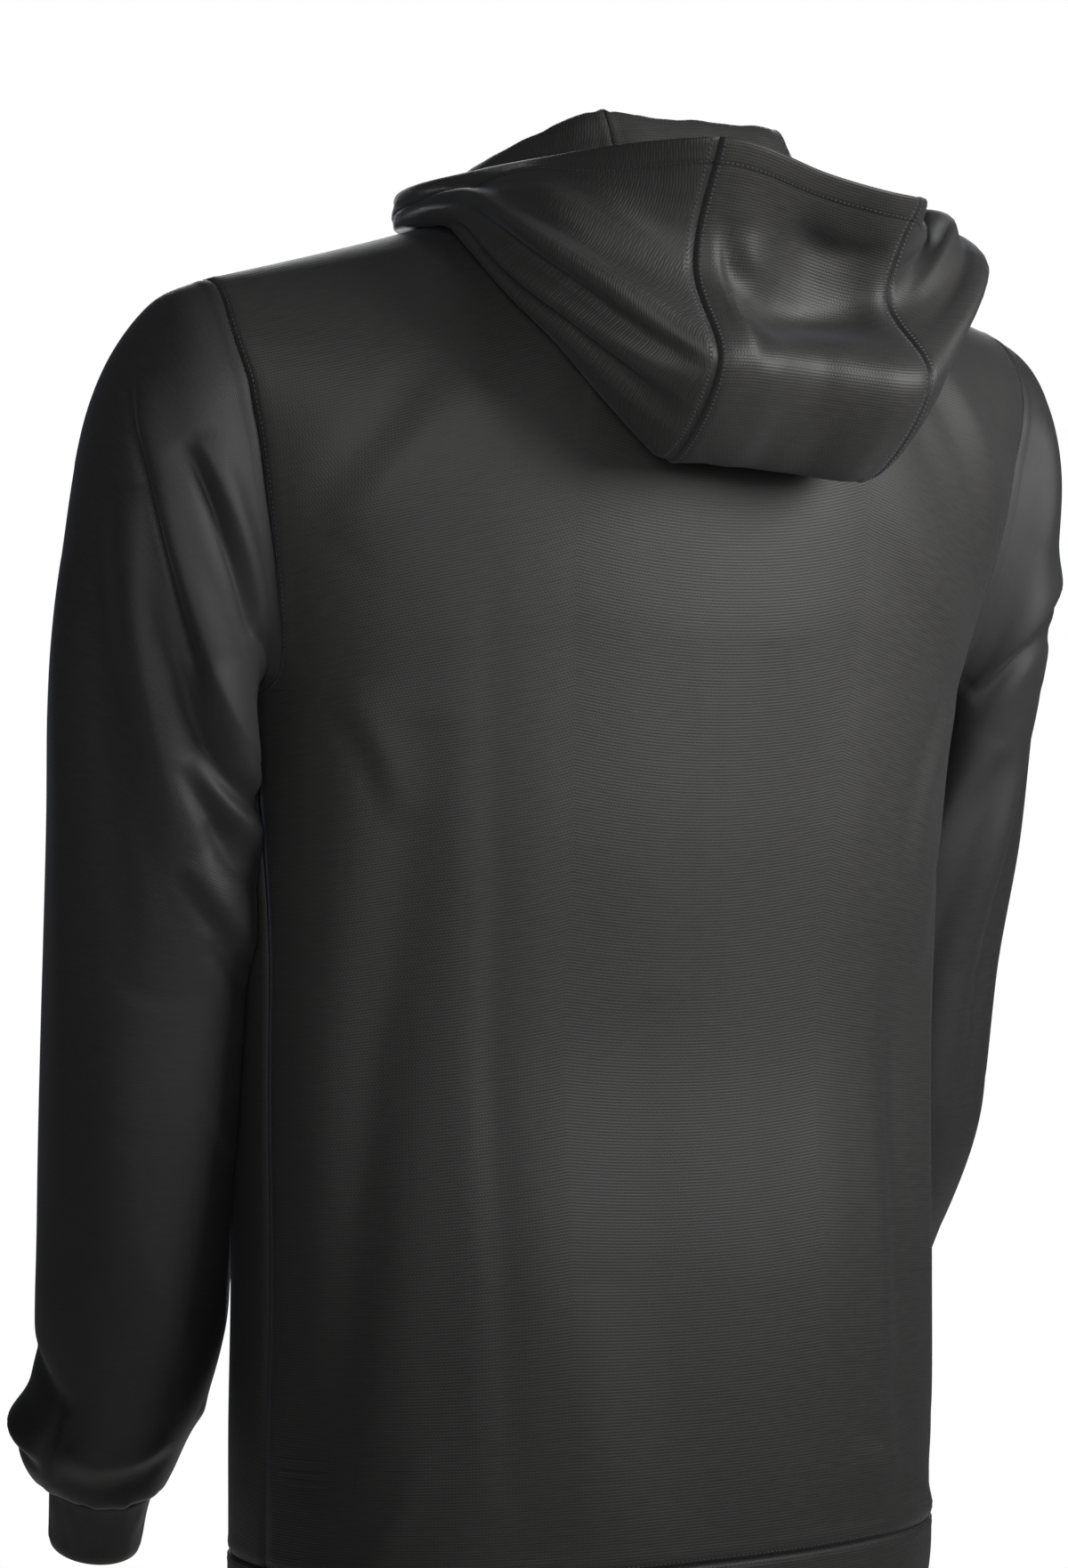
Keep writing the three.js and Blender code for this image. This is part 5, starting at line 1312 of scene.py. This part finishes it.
def teeth_mesh(name):
    """Zip teeth: at equal gaps up the zip line, on each side in turn, an outline carried outwards in
    three layers, the last drawn in by a fifth."""
    line, out = zip_line()
    run = running_length(line)
    at = np.arange(TEETH_FROM_HEM, run[-1] - TEETH_FROM_NECK, settings().tooth_gap / MM / 2)
    side = np.where(np.arange(len(at)) % 2 == 0, 1.0, -1.0)
    centre = on_path(at, run, line)
    up = unit(on_path(at, run, out))
    along = unit(on_path(at + 1, run, line) - centre)
    size = TOOTH_LAYERS[:, :1, None] * (TOOTH_OUTLINE - np.array([TOOTH_OVERLAP, 0]))[None]
    across = -size[..., 0][None] * side[:, None, None]
    height = size[..., 1][None] * np.ones((len(at), 1, 1))
    rise = np.broadcast_to(TOOTH_LAYERS[None, :, 1:], across.shape)
    points = centre[:, None, None] + across[..., None] * np.array([1, 0, 0])
    points = points + height[..., None] * along[:, None, None] + rise[..., None] * up[:, None, None]
    corners = len(TOOTH_OUTLINE)
    cell = np.arange(3 * corners).reshape(3, corners)
    after = np.roll(cell, -1, axis=1)
    sides = np.stack([cell[:-1], after[:-1], after[1:], cell[1:]], axis=-1).reshape(-1, 4)
    starts = np.arange(len(at))[:, None, None] * 3 * corners
    quads = (sides[None] + starts).reshape(-1, 4)
    caps = (np.stack([cell[0][::-1], cell[-1]])[None] + starts).reshape(-1, corners)
    made = add_object(name, points, quads.tolist() + caps.tolist(), smooth=False)
    outward_faces(made.data)
    return made


def outward_faces(mesh):
    """Turns the faces of closed pieces outwards, after their doubles are merged."""
    work = bmesh.new()
    work.from_mesh(mesh)
    bmesh.ops.remove_doubles(work, verts=work.verts, dist=1e-7)
    bmesh.ops.recalc_face_normals(work, faces=work.faces)
    work.to_mesh(mesh)
    work.free()


class MESH_OT_hooded_top_zip(bpy.types.Operator):
    """Make the zip's tapes and teeth, and finish its slider, pull tab and box"""

    bl_idname = "mesh.hooded_top_zip"
    bl_label = "Zip"

    def execute(self, context):
        points, out = zip_edge()
        left = (points - out * TAPE_DEPTH, out)
        weave = zip_tape_weave()
        for side, grid in (("left", left), ("right", mirrored(*left))):
            front = ["front_" + side]
            cloth_piece("zip_tape_" + side, *grid, weave, "tape", rests_on=front, thick=0.0008)
        teeth = teeth_mesh("zip_teeth")
        teeth.data.materials.append(moulded_acetal())
        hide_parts("zip_chain")
        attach(teeth, "garment")
        enamel = black_enamel()
        for name in ("zip_slider", "zip_pull", "zip_box"):
            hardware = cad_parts[name]
            hardware.data.materials.clear()
            hardware.data.materials.append(enamel)
        return {"FINISHED"}


# The transfer's block and bars: name, nearest and farthest place from the left side seam, and the
# lowest and highest height.
TRANSFER_PARTS = [
    ("transfer_block", 46, 57, -650, -637),
    ("transfer_bar_1", 12, 42, -641, -637),
    ("transfer_bar_2", 12, 42, -646, -643),
    ("transfer_bar_3", 12, 42, -650, -648),
]


class MESH_OT_hooded_top_print(bpy.types.Operator):
    """Make the small plain transfer at the lower left of the back: a block and three bars"""

    bl_idname = "mesh.hooded_top_print"
    bl_label = "Transfer"

    def execute(self, context):
        film = transfer_print()
        back = back_panel()[0][:UNDERARM_ROW]
        run = steps(back_panel()[0], 1)
        # Distances from the left side seam, with the columns turned so that they rise.
        run = (run[:, -1:] - run)[:UNDERARM_ROW, ::-1]
        back = back[:, ::-1]
        for name, near, far, low, high in TRANSFER_PARTS:
            across = np.linspace(far, near, 16)
            lines = np.stack([on_path(across, *pair) for pair in zip(run, back)])
            heights = np.linspace(low, high, 8)
            level = lines[:, 0, 2]
            grid = np.stack([on_path(heights, level, line) for line in lines.swapaxes(0, 1)], axis=1)
            facing = normals(grid, 1)
            made = make_mesh(name, grid + facing * 0.12, facing, place_on_cloth(grid))
            made.data.materials.append(film)
            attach(made, "garment")
        return {"FINISHED"}


FLOOR_RADIUS = 2300.0

# The camera as in the photo, in metres and degrees: level, and 30 degrees round from the back.
CAMERA_PLACE = (1.0862, 1.7978, -0.299)
CAMERA_TURN = [90, 0, 150]
SENSOR_HEIGHT = 24
PHOTO_HEIGHT = 1762
FOCAL_PIXELS = 4473


class SCENE_OT_hooded_top_stage(bpy.types.Operator):
    """Set the floor, the soft studio light and the camera"""

    bl_idname = "scene.hooded_top_stage"
    bl_label = "Stage"

    def execute(self, context):
        scene = context.scene
        turn = np.linspace(0, 2 * np.pi, 97)[None, :-1]
        reach = np.array([0.001, FLOOR_RADIUS])[:, None]
        level = settings().floor_height / MM
        disc = np.stack(np.broadcast_arrays(reach * np.cos(turn), reach * np.sin(turn), level), axis=-1)
        up = np.zeros_like(disc) + np.array([0, 0, 1])
        floor = make_mesh("floor", disc, up, place_on_cloth(disc, True), wrap=True)
        material, tree, shader = new_material("Pale studio floor")
        place = add_node(tree, "ShaderNodeTexCoord").outputs["Object"]
        dust = add_node(tree, NOISE, {"Vector": place}, {"Scale": 3.0, "Detail": 3.0}).outputs["Fac"]
        gloss = add_node(tree, MATH, {0: dust}, {1: 0.1, 2: 0.55}, **FITTED)
        tree.links.new(gloss.outputs[0], shader.inputs["Roughness"])
        shader.inputs["Base Color"].default_value = linear("#eeedea")
        floor.data.materials.append(material)

        world = bpy.data.worlds.new("Studio")
        scene.world = world
        world.use_nodes = True
        world.node_tree.nodes.clear()
        tree = world.node_tree
        # The camera sees white, and the cloth gets only a faint cool light from all round.
        skies = [((0.92, 0.95, 1.0, 1), 0.07), ((1, 1, 1, 1), 1.0)]
        soft, seen = [
            add_node(tree, "ShaderNodeBackground", values={"Color": tone, "Strength": strength}).outputs[0]
            for tone, strength in skies
        ]
        ray = add_node(tree, "ShaderNodeLightPath").outputs["Is Camera Ray"]
        mix = add_node(tree, "ShaderNodeMixShader", {0: ray, 1: soft, 2: seen})
        add_node(tree, "ShaderNodeOutputWorld", {"Surface": mix.outputs[0]})

        # Each lamp's place and the place it shines at in metres, its two sides, its spread in degrees
        # and its power in watts.
        lamps = [
            ("key", (-0.62, 0.95, 0.12), (-0.12, 0.1, -0.18), (0.55, 0.6), 85, 3.7),
            ("fill", (1.0, 1.5, -0.05), (0.1, 0.15, -0.05), (0.5, 0.5), 45, 0.8),
            ("top", (-0.2, 0.5, 2.4), (0, 0, -0.3), (1.6, 1.2), 180, 3),
            ("front", (-1.45, -2.5, 0.5), (0, 0, -0.35), (1.8, 2.2), 180, 100),
        ]
        for name, place, target, sides, spread, power in lamps:
            light = bpy.data.lights.new(name, "AREA")
            light.shape, light.energy, light.spread = "RECTANGLE", power, np.radians(spread)
            light.size, light.size_y = sides
            lamp = bpy.data.objects.new(name, light)
            lamp.location = place
            aim = Vector(target) - Vector(place)
            lamp.rotation_euler = aim.to_track_quat("-Z", "Y").to_euler()
            lamp.visible_camera = False
            scene.collection.objects.link(lamp)

        scene.view_settings.view_transform = "Standard"
        view = bpy.data.cameras.new("camera")
        view.sensor_fit = "VERTICAL"
        view.sensor_height = SENSOR_HEIGHT
        view.lens = SENSOR_HEIGHT * FOCAL_PIXELS / PHOTO_HEIGHT
        camera = bpy.data.objects.new("camera", view)
        camera.location = CAMERA_PLACE
        camera.rotation_euler = np.radians(CAMERA_TURN).tolist()
        scene.collection.objects.link(camera)
        scene.camera = camera
        return {"FINISHED"}


OPERATORS = [
    MESH_OT_hooded_top_body,
    MESH_OT_hooded_top_sleeves,
    MESH_OT_hooded_top_hood,
    MESH_OT_hooded_top_stitching,
    MESH_OT_hooded_top_zip,
    MESH_OT_hooded_top_print,
    SCENE_OT_hooded_top_stage,
]


class VIEW3D_PT_hooded_top(bpy.types.Panel):
    """The sizes, colours and steps of the hooded top"""

    bl_label = "Hooded top"
    bl_space_type = "VIEW_3D"
    bl_region_type = "UI"
    bl_category = "Hooded top"

    def draw(self, context):
        for name in HoodedTopSettings.__annotations__:
            self.layout.prop(context.scene.hooded_top, name)
        for operator in OPERATORS:
            self.layout.operator(operator.bl_idname)


def register():
    for item in (HoodedTopSettings, *OPERATORS, VIEW3D_PT_hooded_top):
        bpy.utils.register_class(item)
    bpy.types.Scene.hooded_top = PointerProperty(type=HoodedTopSettings)


def unregister():
    del bpy.types.Scene.hooded_top
    for item in reversed((HoodedTopSettings, *OPERATORS, VIEW3D_PT_hooded_top)):
        bpy.utils.unregister_class(item)


def main():
    register()
    bpy.ops.mesh.hooded_top_body()
    bpy.ops.mesh.hooded_top_sleeves()
    bpy.ops.mesh.hooded_top_hood()
    bpy.ops.mesh.hooded_top_stitching()
    bpy.ops.mesh.hooded_top_zip()
    bpy.ops.mesh.hooded_top_print()
    bpy.ops.scene.hooded_top_stage()


if __name__ == "__main__":
    main()
